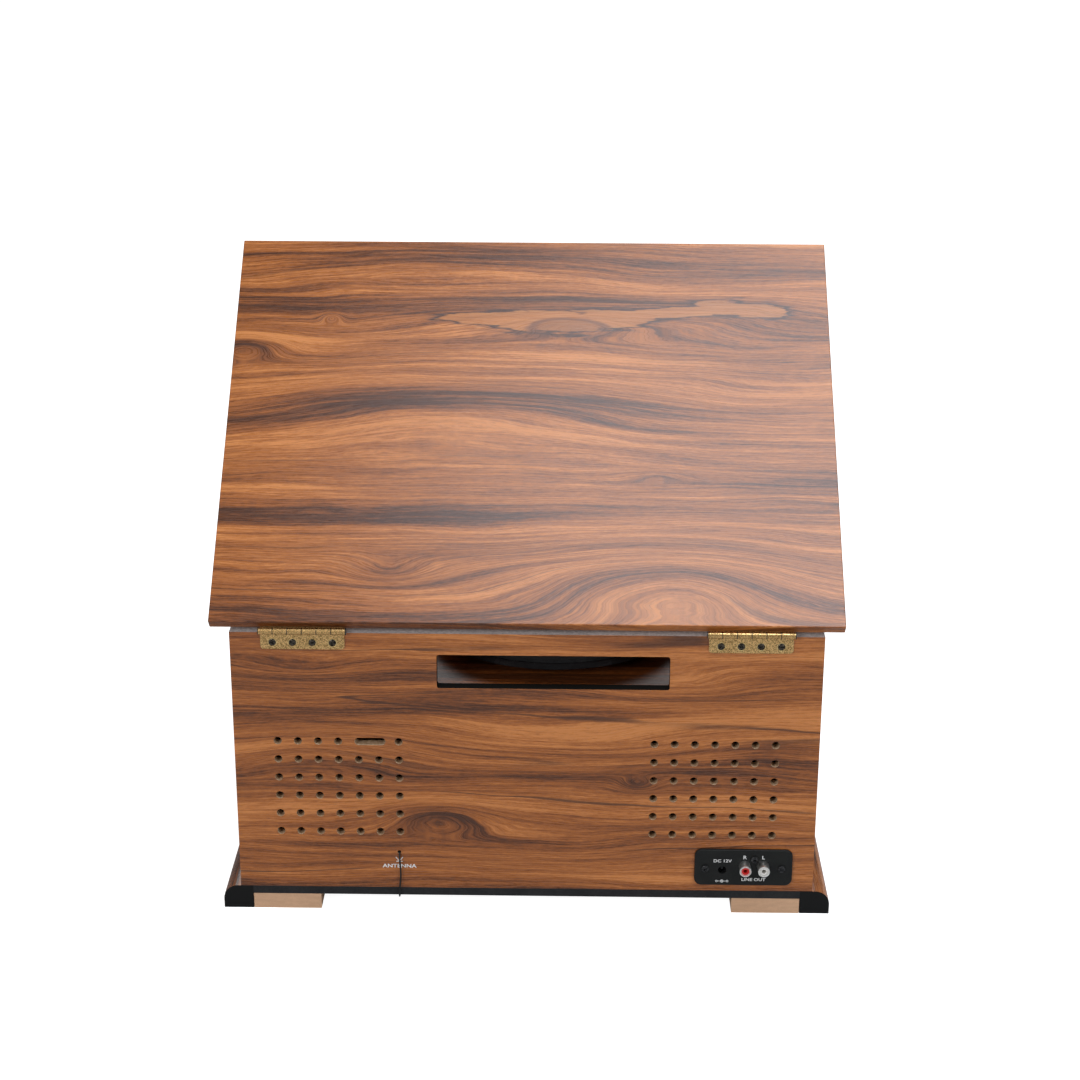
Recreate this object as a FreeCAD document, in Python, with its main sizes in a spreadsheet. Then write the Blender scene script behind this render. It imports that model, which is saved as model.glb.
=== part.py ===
import FreeCAD, Part

# A record player in a wooden cabinet with a hinged lid.
#
# Frame: millimetres, +Z up, the front faces -Y and the back faces +Y. The origin
# is on the resting surface, under the middle of the whole player.
# Every size is a cell of the sheet "Sizes"; sub-parts are bound to those cells.

import math
import os

import Sketcher
from FreeCAD import Rotation, Vector

DOC = FreeCAD.newDocument("record_player")

SIZES = {
    "cabinet": {
        "cabinet_width": 435, "cabinet_depth": 328, "wall_height": 210,
        "wall": 9, "base_thick": 6.5, "foot_height": 12.5,
        "moulding_lap": 0.2, "moulding_proud": 13.5, "moulding_round": 11,
        "foot_length": 51.5, "foot_depth": 22.7, "foot_gap": 0.3,
        "deck_drop": 47, "deck_thick": 9, "batten_side": 12,
        "rear_reach": 11.5, "front_reach": 16,
    },
    "rear openings": {
        "slot_middle": -19.6, "slot_width": 171.2, "slot_top_drop": 16.8,
        "slot_height": 26.6, "slot_corner": 1.8,
        "vent_radius": 3, "vent_pitch": 15, "vent_columns": 7, "vent_rows": 6,
        "vent_first": 95, "vent_top_drop": 87.5, "vent_slot_length": 23,
        "vent_slot_place": 116.3,
        "wire_hole_place": 96.2, "wire_hole_drop": 179.9, "wire_hole_radius": 1.5,
    },
    "jack plate": {
        "plate_width": 74, "plate_height": 30, "plate_thick": 2.4, "plate_corner": 5.5,
        "plate_middle": -164.4, "plate_drop": 189.1, "plate_chamfer": 0.8,
        "cutout_width": 54, "cutout_height": 12.6, "cutout_drop": 189.4,
        "phono_spacing": 13.9, "phono_first": -165.3, "phono_drop": 187.4,
        "phono_ring": 4.25, "phono_flange": 1.2, "phono_barrel": 4.1,
        "phono_wall": 0.7, "phono_core": 2.9, "phono_pin_hole": 1.65,
        "power_place": -148.4, "power_drop": 191.1, "power_bore": 3.15,
        "power_pin": 1.05, "power_body": 9, "power_depth": 13,
        "plate_screw_head": 2.7, "plate_screw_rise": 1.3, "plate_screw_shank": 1.3,
        "plate_screw_length": 9, "plate_screw_side_drop": 189.6,
        "plate_screw_left": -193.3, "plate_screw_right": -135.5,
        "plate_screw_middle": -172.6, "plate_screw_middle_drop": 181.8,
    },
    "lid": {
        "lid_side_reach": 14.2, "lid_front_reach": 14.3, "lid_thick": 9, "lid_gap": 0.5,
        "lid_setback": 1, "lid_round": 0.7, "lid_open": 40.55,
        "bumper_radius": 4, "bumper_proud": 0.4, "bumper_inset": 26,
    },
    "hinges": {
        "hinge_place": 163.8, "hinge_length": 64.1, "hinge_back": 2.5, "hinge_up": 2,
        "knuckle_radius": 2.5, "knuckle_gap": 0.2, "knuckle_count": 6,
        "pin_radius": 1.2, "pin_clearance": 0.06, "leaf_thick": 1.2,
        "leaf_width": 61.6, "leaf_drop": 12.7, "leaf_reach": 18, "leaf_corner": 2.5,
        "leaf_clear": 0.4, "hinge_screw_inner": 7.2, "hinge_screw_outer": 22,
        "hinge_screw_drop": 7.4, "hinge_screw_reach": 12,
        "hinge_screw_head": 2.6, "hinge_screw_shank": 1.2, "hinge_screw_length": 7,
    },
    "lid stay": {
        "stay_arm": 110, "track_fall": 8, "stay_start": 3.5,
        "track_first": 56, "track_last": 230, "track_height": 12, "track_depth": 5,
        "track_wall": 1.2, "roller_radius": 4.4, "roller_clear": 0.4,
        "roller_thick": 2.6, "stay_pin": 1.5, "bar_width": 8, "bar_thick": 1.5,
        "bar_clear": 0.8, "bar_gap": 0.3, "bracket_thick": 1.5, "bracket_width": 14,
        "bracket_foot": 14,
    },
    "turntable": {
        "spindle_side": -19.6, "spindle_back": 126.5, "spindle_radius": 3.55,
        "spindle_shaft": 4.5, "spindle_rise": 24, "spindle_fall": 14, "bush_wall": 2, "bush_flange": 8,
        "bush_flange_thick": 1.5, "bush_clear": 0.05,
        "platter_radius": 100, "platter_lift": 7.5, "platter_height": 4.5,
        "platter_web": 2, "platter_rim": 4, "platter_edge": 0.8, "hub_radius": 10,
        "hub_fall": 3, "drive_radius": 71, "drive_wall": 2.5, "drive_fall": 4.5,
        "mat_radius": 98.5, "mat_thick": 2.5, "mat_hole": 5,
        "pulley_distance": 86, "pulley_radius": 5, "pulley_height": 6,
        "pulley_lift": 2.4, "pulley_flange": 0.9, "belt_width": 3.6, "belt_thick": 0.6,
        "belt_clear": 0.3, "motor_radius": 16, "motor_height": 22, "motor_shaft": 1,
        "motor_boss": 3.5, "boss_clear": 0.5, "shaft_clear": 0.05,
    },
    "tonearm": {
        "pivot_side": 158, "pivot_back": 72, "pivot_rise": 28.5, "base_radius": 24,
        "base_height": 9, "column_radius": 12, "column_top": 13, "swivel_pin": 3,
        "swivel_depth": 12, "swivel_clear": 0.05, "yoke_radius": 11.5,
        "yoke_plate": 2.5, "yoke_gap": 0.3, "yoke_cheek": 2.2, "yoke_inside": 13,
        "yoke_depth": 9, "yoke_over": 4, "trunnion_radius": 1.2,
        "trunnion_clear": 0.05, "block_width": 12, "block_length": 16,
        "block_height": 10, "tube_radius": 4, "tube_bore": 3.2, "tube_reach": 168,
        "tube_tail": 18, "weight_radius": 9.5, "weight_length": 18,
        "weight_start": 16, "shell_width": 18, "shell_length": 38,
        "shell_height": 6.5, "shell_wall": 1.6, "finger_width": 5,
        "finger_reach": 9, "finger_thick": 1.4, "cartridge_width": 13,
        "cartridge_length": 20, "cartridge_height": 6.5, "stylus_radius": 0.9,
        "stylus_fall": 2.2, "effective_length": 195,
        "rest_back": 118, "rest_width": 12, "rest_depth": 9, "rest_gap": 0.5,
        "rest_stop": 3, "rest_over": 6.8, "clip_length": 13, "clip_width": 5,
        "clip_thick": 2, "clip_pin": 1, "clip_clear": 0.06, "clip_gap": 0.4,
    },
    "deck fittings": {
        "switch_side": 150, "switch_front": 45, "switch_width": 64,
        "switch_height": 20, "switch_thick": 1.6, "switch_corner": 3,
        "switch_slot": 3.2, "switch_apart": 15, "speed_travel": 16,
        "stop_travel": 8, "slider_length": 8, "slider_width": 7,
        "slider_height": 5, "slider_neck": 2.8, "slider_clear": 0.2,
        "slider_foot": 3,
    },
    "front": {
        "speaker_place": 150, "speaker_level": 96, "speaker_opening": 35,
        "speaker_flange": 39, "speaker_flange_thick": 2, "basket_depth": 26,
        "basket_back": 17, "basket_wall": 1.2, "magnet_radius": 19,
        "magnet_thick": 12, "cone_inner": 10, "cone_outer": 33, "cone_wall": 0.8,
        "cone_depth": 17, "cone_clear": 0.6, "grille_width": 98,
        "grille_height": 152, "grille_level": 105, "grille_thick": 5, "grille_cloth": 1,
        "grille_frame": 8, "grille_round": 1.5,
        "dial_width": 150, "dial_height": 52, "dial_drop": 20, "dial_border": 7,
        "dial_thick": 3, "window_thick": 1.5, "scale_thick": 1.5, "scale_margin": 0.5,
        "pointer_width": 1.6, "pointer_thick": 1, "pointer_back": 4,
        "pointer_short": 4, "pointer_travel": 52, "stem_width": 1.2,
        "stem_clear": 0.4, "stem_level": 10, "stem_reach": 5,
        "knob_level": 58, "knob_apart": 58, "knob_radius": 12, "tuning_radius": 15,
        "knob_gap": 0.6, "knob_crown": 1.2,
        "shaft_radius": 3, "control_bush": 4.5,
        "control_radius": 9, "control_depth": 11, "nut_radius": 6.5,
        "nut_thick": 2,
    },
    "electronics": {
        "board_width": 150, "board_depth": 90, "board_thick": 1.6,
        "board_lift": 8, "board_back": 170, "post_radius": 3, "post_inset": 6,
        "can_radius": 6, "can_height": 18, "sink_width": 40, "sink_depth": 4,
        "sink_height": 25, "tuner_side": 26, "tuner_height": 14,
    },
    "antenna wire": {"wire_radius": 0.65, "wire_length": 750, "coil_radius": 7.4,
                     "coil_height": 5.6, "coil_band": 5.6},
}


class Dim:
    """A size: its number, and the sheet expression that gives that number."""

    def __init__(self, text, value):
        self.text = text
        self.value = float(value)

    def __float__(self):
        return self.value

    def __add__(self, other):
        return join(self, "+", other, self.value + float(other))

    def __radd__(self, other):
        return join(other, "+", self, float(other) + self.value)

    def __sub__(self, other):
        return join(self, "-", other, self.value - float(other))

    def __rsub__(self, other):
        return join(other, "-", self, float(other) - self.value)

    def __mul__(self, other):
        return join(self, "*", other, self.value * float(other))

    def __rmul__(self, other):
        return join(other, "*", self, float(other) * self.value)

    def __truediv__(self, other):
        return join(self, "/", other, self.value / float(other))

    def __neg__(self):
        return Dim(f"(0 - {self.text})", -self.value)


def text_of(size):
    """The expression of a size, or of a plain number."""
    return size.text if isinstance(size, Dim) else f"{size:.6f}"


def join(left, sign, right, value):
    """Two sizes and the sign between them, as one size."""
    return Dim(f"({text_of(left)} {sign} {text_of(right)})", value)


def sine(angle, reach=1):
    """The reach times the sine of an angle in degrees."""
    value = float(reach) * math.sin(math.radians(float(angle)))
    return Dim(f"({text_of(reach)} * sin({text_of(angle)} * 1 deg))", value)


def cosine(angle, reach=1):
    """The reach times the cosine of an angle in degrees."""
    value = float(reach) * math.cos(math.radians(float(angle)))
    return Dim(f"({text_of(reach)} * cos({text_of(angle)} * 1 deg))", value)


class Sizes:
    """The sheet's cells, read by name."""

    def __init__(self):
        self.cells = {}
        self.sheet = DOC.addObject("Spreadsheet::Sheet", "Sizes")
        row = 0
        for group, values in SIZES.items():
            row += 1
            self.sheet.set(f"A{row}", group)
            for name, value in values.items():
                row += 1
                self.sheet.set(f"A{row}", name.replace("_", " "))
                self.sheet.set(f"B{row}", str(value))
                self.sheet.setAlias(f"B{row}", name)
                self.cells[name] = Dim(f"Sizes.{name}", value)
        DOC.recompute()

    def __getattr__(self, name):
        return self.cells[name]


S = Sizes()
SUB_PARTS = []

# Levels and places that several sub-parts share.
WALL_Z = S.foot_height + S.base_thick
TOP_Z = WALL_Z + S.wall_height
DECK_Z = TOP_Z - S.deck_drop
REAR_Y = (S.cabinet_depth + S.front_reach - S.rear_reach) / 2
FRONT_Y = REAR_Y - S.cabinet_depth
SIDE_X = S.cabinet_width / 2
INNER_X = SIDE_X - S.wall
INNER_REAR_Y = REAR_Y - S.wall
INNER_FRONT_Y = FRONT_Y + S.wall
MOULDING_WIDTH = S.moulding_proud + S.wall + S.moulding_lap
BASE_X = SIDE_X + S.moulding_proud - MOULDING_WIDTH
HINGE_Y = REAR_Y + S.hinge_back
HINGE_Z = TOP_Z + S.hinge_up
PLATE_Z = TOP_Z - S.plate_drop
PLATE_Y = REAR_Y + S.plate_thick
SPINDLE_Y = REAR_Y - S.spindle_back
PLATTER_Z = DECK_Z + S.platter_lift
PLATTER_TOP = PLATTER_Z + S.platter_height
PIVOT_Y = REAR_Y - S.pivot_back
PIVOT_Z = DECK_Z + S.pivot_rise
DIAL_Z = DECK_Z - S.deck_thick - S.dial_drop
LID_WIDTH = S.cabinet_width + 2 * S.lid_side_reach
LID_DEPTH = S.cabinet_depth - S.lid_setback + S.lid_front_reach


# ---------------------------------------------------------------- building blocks

def bind(item, name, size):
    """Give a property a size and keep it tied to the sheet."""
    if isinstance(size, Dim):
        item.setExpression(name, size.text)
    else:
        item.setExpression(name, text_of(float(size)))


def place(item, corner, axis=None, angle=0):
    """Put an item's origin at a point, turned about an axis by an angle."""
    if axis is not None:
        item.Placement = FreeCAD.Placement(Vector(), Rotation(Vector(*axis), float(angle)))
    for letter, size in zip("xyz", corner):
        bind(item, f"Placement.Base.{letter}", size)
    if isinstance(angle, Dim):
        bind(item, "Placement.Rotation.Angle", angle)
    return item


def box(size, corner):
    """A box from its three sizes and its lowest corner."""
    item = DOC.addObject("Part::Box", "Box")
    for name, length in zip(("Length", "Width", "Height"), size):
        bind(item, name, length)
    return place(item, corner)


AXES = {"+X": ((0, 1, 0), 90), "-X": ((0, 1, 0), -90), "+Y": ((1, 0, 0), -90),
        "-Y": ((1, 0, 0), 90), "+Z": (None, 0), "-Z": ((1, 0, 0), 180)}


def rod(radius, length, start, along="+Z"):
    """A cylinder from the middle of its first end, along an axis."""
    item = DOC.addObject("Part::Cylinder", "Cylinder")
    bind(item, "Radius", radius)
    bind(item, "Height", length)
    return place(item, start, *AXES[along])


def cone(first, second, length, start, along="+Z"):
    """A cone between two radii, from the middle of its first end."""
    item = DOC.addObject("Part::Cone", "Cone")
    bind(item, "Radius1", first)
    bind(item, "Radius2", second)
    bind(item, "Height", length)
    return place(item, start, *AXES[along])


def fuse(*items):
    """Several shapes as one solid."""
    item = DOC.addObject("Part::MultiFuse", "Fuse")
    item.Shapes = list(items)
    item.Refine = True
    return item


def group(*items):
    """Several separate solids as one sub-part."""
    item = DOC.addObject("Part::Compound", "Group")
    item.Links = list(items)
    return item


def cut(base, *tools):
    """A shape with others taken away."""
    item = DOC.addObject("Part::Cut", "Cut")
    item.Base = base
    item.Tool = tools[0] if len(tools) == 1 else fuse(*tools)
    item.Refine = True
    return item


def softened(base, radius, chosen):
    """A shape with the chosen edges rounded."""
    DOC.recompute()
    item = DOC.addObject("Part::Fillet", "Fillet")
    item.Base = base
    edges = enumerate(base.Shape.Edges, start=1)
    item.Edges = [(n, float(radius), float(radius)) for n, edge in edges if chosen(edge)]
    return item


def runs_along(letter):
    """A test for straight edges that run along one axis."""
    def chosen(edge):
        if edge.Curve.TypeId != "Part::GeomLine":
            return False
        return abs(getattr(edge.Curve.Direction, letter)) > 0.999
    return chosen


def any_edge(edge):
    """A test that takes every edge."""
    return edge.Length > 0


def origin_plane(body, role):
    """One of a body's own origin planes or axes."""
    return next(item for item in body.Origin.OriginFeatures if item.Role == role)


def new_sketch(body, role):
    """An empty sketch on one of the body's origin planes."""
    sketch = body.newObject("Sketcher::SketchObject", "Sketch")
    sketch.AttachmentSupport = [(origin_plane(body, role), "")]
    sketch.MapMode = "FlatFace"
    return sketch


def pin_down(sketch, shape, point, across, up):
    """Tie one point of a sketch to its two sizes from the sketch's origin."""
    for kind, size in (("DistanceX", across), ("DistanceY", up)):
        number = sketch.addConstraint(
            Sketcher.Constraint(kind, -1, 1, shape, point, float(size)))
        bind(sketch, f"Constraints[{number}]", size)


def add_outline(sketch, points):
    """A closed outline of straight lines through the points."""
    first = sketch.GeometryCount
    count = len(points)
    flat = [Vector(float(across), float(up), 0) for across, up in points]
    for number in range(count):
        sketch.addGeometry(Part.LineSegment(flat[number], flat[(number + 1) % count]))
    for number in range(count):
        following = first + (number + 1) % count
        sketch.addConstraint(
            Sketcher.Constraint("Coincident", first + number, 2, following, 1))
    for number, (across, up) in enumerate(points):
        pin_down(sketch, first + number, 1, across, up)


def add_rectangle(sketch, left, right, low, high):
    """A rectangle between four levels."""
    add_outline(sketch, [(left, low), (right, low), (right, high), (left, high)])


def add_circle(sketch, across, up, radius):
    """A circle with its middle and radius tied to the sheet."""
    middle = Vector(float(across), float(up), 0)
    shape = sketch.addGeometry(Part.Circle(middle, Vector(0, 0, 1), float(radius)))
    pin_down(sketch, shape, 3, across, up)
    number = sketch.addConstraint(Sketcher.Constraint("Radius", shape, float(radius)))
    bind(sketch, f"Constraints[{number}]", radius)


def new_body(name):
    """An empty PartDesign body."""
    return DOC.addObject("PartDesign::Body", name.title().replace("_", ""))


def pad(body, sketch, length, reversed_side=False):
    """The sketch drawn out into a solid."""
    item = body.newObject("PartDesign::Pad", "Pad")
    item.Profile = sketch
    item.Reversed = reversed_side
    bind(item, "Length", length)
    return item


def pocket(body, sketch):
    """The sketch cut right through the body."""
    item = body.newObject("PartDesign::Pocket", "Pocket")
    item.Profile = sketch
    item.Midplane = True
    item.Type = "ThroughAll"
    return item


def grid(body, feature, sketch, pitch, columns, rows, across_back=False):
    """A feature repeated in columns across and rows downwards."""
    steps = []
    for axis, count, back in (("H_Axis", columns, across_back), ("V_Axis", rows, True)):
        step = body.newObject("PartDesign::LinearPattern", "Row")
        step.Direction = (sketch, [axis])
        step.Reversed = back
        bind(step, "Length", pitch * (count - 1))
        bind(step, "Occurrences", count)
        steps.append(step)
    item = body.newObject("PartDesign::MultiTransform", "Grid")
    item.Originals = [feature]
    item.Transformations = steps
    body.Tip = item
    return item


def rounded(body, radius, chosen):
    """The body's chosen edges rounded."""
    DOC.recompute()
    base = body.Tip
    item = body.newObject("PartDesign::Fillet", "Fillet")
    edges = enumerate(base.Shape.Edges, start=1)
    item.Base = (base, [f"Edge{n}" for n, edge in edges if chosen(edge)])
    bind(item, "Radius", radius)
    return item


def turned(name, outline):
    """A body of revolution about Z, from its (radius, height) outline."""
    body = new_body(name)
    sketch = new_sketch(body, "XZ_Plane")
    add_outline(sketch, outline)
    item = body.newObject("PartDesign::Revolution", "Revolution")
    item.Profile = sketch
    item.ReferenceAxis = (sketch, ["V_Axis"])
    item.Angle = 360
    return body


def sub_part(name, item):
    """Name a finished item as a sub-part to be written."""
    item.Label = name
    SUB_PARTS.append(item)
    return item


def on_lid(item):
    """Swing an item, modelled with the lid shut about the hinge, to the open lid."""
    return place(item, (0, HINGE_Y, HINGE_Z), (1, 0, 0), -S.lid_open)


# ------------------------------------------------------------------------ cabinet

def rear_panel():
    """The back, with the record slot, two vent grids and the holes for leads."""
    body = new_body("rear_panel")
    sketch = new_sketch(body, "XZ_Plane")
    add_rectangle(sketch, -SIDE_X, SIDE_X, WALL_Z, TOP_Z)
    pad(body, sketch, S.wall)

    slot = new_sketch(body, "XZ_Plane")
    slot_high = TOP_Z - S.slot_top_drop
    slot_low = slot_high - S.slot_height
    slot_left = S.slot_middle - S.slot_width / 2
    slot_right = S.slot_middle + S.slot_width / 2
    add_rectangle(slot, slot_left, slot_right, slot_low, slot_high)
    pocket(body, slot)

    def slot_edge(edge):
        middle = edge.CenterOfMass
        inside = float(slot_low) - 1 < middle.z < float(slot_high) + 1
        return runs_along("y")(edge) and inside and abs(middle.x) < float(S.vent_first) * 1.2
    rounded(body, S.slot_corner, slot_edge)

    leads = new_sketch(body, "XZ_Plane")
    add_circle(leads, S.wire_hole_place, TOP_Z - S.wire_hole_drop, S.wire_hole_radius)
    add_rectangle(leads, S.plate_middle - S.cutout_width / 2,
                  S.plate_middle + S.cutout_width / 2,
                  TOP_Z - S.cutout_drop - S.cutout_height / 2,
                  TOP_Z - S.cutout_drop + S.cutout_height / 2)
    pocket(body, leads)

    last = S.vent_first + S.vent_pitch * (S.vent_columns - 1)
    top = TOP_Z - S.vent_top_drop
    vents(body, -S.vent_first, top, S.vent_columns, S.vent_rows)
    vents(body, last, top - S.vent_pitch, S.vent_columns, S.vent_rows - 1)
    vents(body, last, top, S.vent_columns - 3, 1)
    single = new_sketch(body, "XZ_Plane")
    add_circle(single, S.vent_first, top, S.vent_radius)
    pocket(body, single)
    long_vent(body, S.vent_slot_place, top)
    place(body, (0, REAR_Y, 0))
    return sub_part("rear_panel", body)


def vents(body, first, top, columns, rows):
    """A grid of round vents, from its outer top one inwards and downwards."""
    sketch = new_sketch(body, "XZ_Plane")
    add_circle(sketch, first, top, S.vent_radius)
    hole = pocket(body, sketch)
    if float(rows) > 1:
        return grid(body, hole, sketch, S.vent_pitch, columns, rows, across_back=True)
    row = body.newObject("PartDesign::LinearPattern", "Row")
    row.Originals = [hole]
    row.Direction = (sketch, ["H_Axis"])
    row.Reversed = True
    bind(row, "Length", S.vent_pitch * (columns - 1))
    bind(row, "Occurrences", columns)
    body.Tip = row
    return row


def long_vent(body, middle, level):
    """The one vent that is a rounded slot."""
    half = S.vent_slot_length / 2 - S.vent_radius
    bar = new_sketch(body, "XZ_Plane")
    add_rectangle(bar, middle - half, middle + half,
                  level - S.vent_radius, level + S.vent_radius)
    pocket(body, bar)
    for end in (middle - half, middle + half):
        ring = new_sketch(body, "XZ_Plane")
        add_circle(ring, end, level, S.vent_radius)
        pocket(body, ring)


def side_panels():
    """The two side walls, between the back and the front."""
    depth = INNER_REAR_Y - INNER_FRONT_Y
    size = (S.wall, depth, S.wall_height)
    sub_part("left_side_panel", box(size, (-SIDE_X, INNER_FRONT_Y, WALL_Z)))
    sub_part("right_side_panel", box(size, (INNER_X, INNER_FRONT_Y, WALL_Z)))


def front_baffle():
    """The front, cut for two speakers, the dial and three controls."""
    body = new_body("front_baffle")
    sketch = new_sketch(body, "XZ_Plane")
    add_rectangle(sketch, -SIDE_X, SIDE_X, WALL_Z, TOP_Z)
    pad(body, sketch, S.wall)
    holes = new_sketch(body, "XZ_Plane")
    for side in (-1, 1):
        add_circle(holes, side * S.speaker_place, WALL_Z + S.speaker_level,
                   S.speaker_opening)
    for number in (-1, 0, 1):
        add_circle(holes, number * S.knob_apart, WALL_Z + S.knob_level, S.control_bush)
    half = S.dial_width / 2 - S.dial_border
    reach = S.dial_height / 2 - S.dial_border
    level = DIAL_Z
    add_rectangle(holes, -half, half, level - reach, level + reach)
    pocket(body, holes)
    place(body, (0, INNER_FRONT_Y, 0))
    return sub_part("front_baffle", body)


def base_board():
    """The bottom, between the mouldings."""
    size = (2 * BASE_X, S.cabinet_depth - mitre_inset(), S.base_thick)
    board = box(size, (-BASE_X, FRONT_Y + mitre_inset(), S.foot_height))
    return sub_part("base_board", board)


def mitre_inset():
    """How far the mouldings reach in under the walls."""
    return MOULDING_WIDTH - S.moulding_proud


def mouldings():
    """The plinth: three rounded mouldings, mitred at the front corners."""
    for name, side in (("left_moulding", -1), ("right_moulding", 1)):
        body = new_body(name)
        sketch = new_sketch(body, "XY_Plane")
        outer = side * (SIDE_X + S.moulding_proud)
        inner = side * BASE_X
        front = FRONT_Y - S.moulding_proud
        add_outline(sketch, [(outer, front), (outer, REAR_Y), (inner, REAR_Y),
                             (inner, front + MOULDING_WIDTH)])
        pad(body, sketch, WALL_Z)
        rounded(body, S.moulding_round, outer_top("x", outer))
        sub_part(name, body)
    body = new_body("front_moulding")
    sketch = new_sketch(body, "XY_Plane")
    outer = SIDE_X + S.moulding_proud
    front = FRONT_Y - S.moulding_proud
    back = front + MOULDING_WIDTH
    add_outline(sketch, [(-outer, front), (outer, front), (BASE_X, back), (-BASE_X, back)])
    pad(body, sketch, WALL_Z)
    rounded(body, S.moulding_round, outer_top("y", front))
    sub_part("front_moulding", body)


def outer_top(letter, level):
    """A test for the top edge at an outer face."""
    def chosen(edge):
        middle = edge.CenterOfMass
        at_face = abs(getattr(middle, letter) - float(level)) < 0.01
        return at_face and abs(middle.z - float(WALL_Z)) < 0.01
    return chosen


def foot_blocks():
    """Four blocks under the base board's corners."""
    feet = []
    size = (S.foot_length, S.foot_depth, S.foot_height)
    inner_front = FRONT_Y + mitre_inset() + S.foot_gap
    for left in (-BASE_X + S.foot_gap, BASE_X - S.foot_gap - S.foot_length):
        for low in (inner_front, REAR_Y - S.foot_depth):
            feet.append(box(size, (left, low, 0)))
    return sub_part("foot_blocks", group(*feet))


def deck_board():
    """The deck that carries the turntable, with its holes."""
    body = new_body("deck_board")
    sketch = new_sketch(body, "XY_Plane")
    add_rectangle(sketch, -INNER_X, INNER_X, INNER_FRONT_Y, INNER_REAR_Y)
    pad(body, sketch, S.deck_thick, reversed_side=True)
    holes = new_sketch(body, "XY_Plane")
    add_circle(holes, S.spindle_side, SPINDLE_Y, S.spindle_shaft + S.bush_clear + S.bush_wall)
    add_circle(holes, *pulley_place(), S.motor_boss)
    add_circle(holes, S.pivot_side, PIVOT_Y, S.swivel_pin + 2)
    middle = FRONT_Y + S.switch_front
    half = S.switch_width / 2 - S.switch_corner
    reach = S.switch_height / 2 - S.switch_corner
    add_rectangle(holes, S.switch_side - half, S.switch_side + half,
                  middle - reach, middle + reach)
    pocket(body, holes)
    place(body, (0, 0, DECK_Z))
    return sub_part("deck_board", body)


def deck_battens():
    """Rails along the side walls that the deck rests on."""
    depth = INNER_REAR_Y - INNER_FRONT_Y
    size = (S.batten_side, depth, S.batten_side)
    low = DECK_Z - S.deck_thick - S.batten_side
    rails = [box(size, (left, INNER_FRONT_Y, low))
             for left in (-INNER_X, INNER_X - S.batten_side)]
    return sub_part("deck_battens", group(*rails))


# ------------------------------------------------------------- the sockets' plate

def jack_plate():
    """The black plate that holds the phono and power sockets."""
    body = new_body("jack_plate")
    sketch = new_sketch(body, "XZ_Plane")
    half = S.plate_width / 2
    add_rectangle(sketch, S.plate_middle - half, S.plate_middle + half,
                  PLATE_Z - S.plate_height / 2, PLATE_Z + S.plate_height / 2)
    pad(body, sketch, S.plate_thick)
    rounded(body, S.plate_corner, runs_along("y"))
    rounded(body, S.plate_chamfer, lambda edge: edge.CenterOfMass.y > -0.001)
    holes = new_sketch(body, "XZ_Plane")
    for across in phono_places():
        add_circle(holes, across, TOP_Z - S.phono_drop, S.phono_barrel)
    add_circle(holes, S.power_place, TOP_Z - S.power_drop, S.power_bore)
    for across, drop in plate_screw_places():
        add_circle(holes, across, TOP_Z - drop, S.plate_screw_shank)
    pocket(body, holes)
    place(body, (0, PLATE_Y, 0))
    return sub_part("jack_plate", body)


def phono_places():
    """The two phono sockets' middles across the back, right channel first."""
    return S.phono_first, S.phono_first - S.phono_spacing


def plate_screw_places():
    """Each plate screw's place across the back and its drop from the top."""
    return ((S.plate_screw_left, S.plate_screw_side_drop),
            (S.plate_screw_right, S.plate_screw_side_drop),
            (S.plate_screw_middle, S.plate_screw_middle_drop))


def phono_sockets():
    """Two phono sockets: a metal sleeve around a core with a pin hole."""
    reach = S.rear_reach - S.plate_thick
    back = S.wall + S.plate_thick
    for name, across in zip(("phono_socket_right", "phono_socket_left"), phono_places()):
        level = TOP_Z - S.phono_drop
        start = (across, PLATE_Y - back, level)
        barrel = rod(S.phono_barrel, back, start, "+Y")
        flange = rod(S.phono_ring, S.phono_flange, (across, PLATE_Y, level), "+Y")
        sleeve = rod(S.phono_barrel, reach, (across, PLATE_Y, level), "+Y")
        inside = rod(S.phono_barrel - S.phono_wall, reach,
                     (across, PLATE_Y + S.phono_flange, level), "+Y")
        core = rod(S.phono_core, reach - S.phono_flange,
                   (across, PLATE_Y + S.phono_wall, level), "+Y")
        hole = rod(S.phono_pin_hole, reach + back,
                   (across, PLATE_Y - S.plate_thick, level), "+Y")
        shell = cut(fuse(barrel, flange, sleeve), inside)
        sub_part(name, cut(fuse(shell, core), hole))


def power_socket():
    """The power socket behind the plate, with its centre pin."""
    level = TOP_Z - S.power_drop
    body = box((S.power_body, S.power_depth, S.power_body),
               (S.power_place - S.power_body / 2, REAR_Y - S.power_depth,
                level - S.power_body / 2))
    bore = rod(S.power_bore, S.power_depth - S.plate_thick,
               (S.power_place, REAR_Y - S.power_depth + S.plate_thick, level), "+Y")
    pin = rod(S.power_pin, S.power_depth - S.plate_thick,
              (S.power_place, REAR_Y - S.power_depth + S.plate_thick / 2, level), "+Y")
    return sub_part("power_socket", fuse(cut(body, bore), pin))


def jack_plate_screws():
    """Three dome-headed screws through the plate."""
    screws = []
    for across, drop in plate_screw_places():
        level = TOP_Z - drop
        head = cone(S.plate_screw_head, S.plate_screw_head * 0.6, S.plate_screw_rise,
                    (across, PLATE_Y, level), "+Y")
        shank = rod(S.plate_screw_shank, S.plate_screw_length,
                    (across, PLATE_Y - S.plate_screw_length, level), "+Y")
        screws.append(fuse(head, shank))
    return sub_part("jack_plate_screws", group(*screws))


# ------------------------------------------------------------------ lid and hinges

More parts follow.
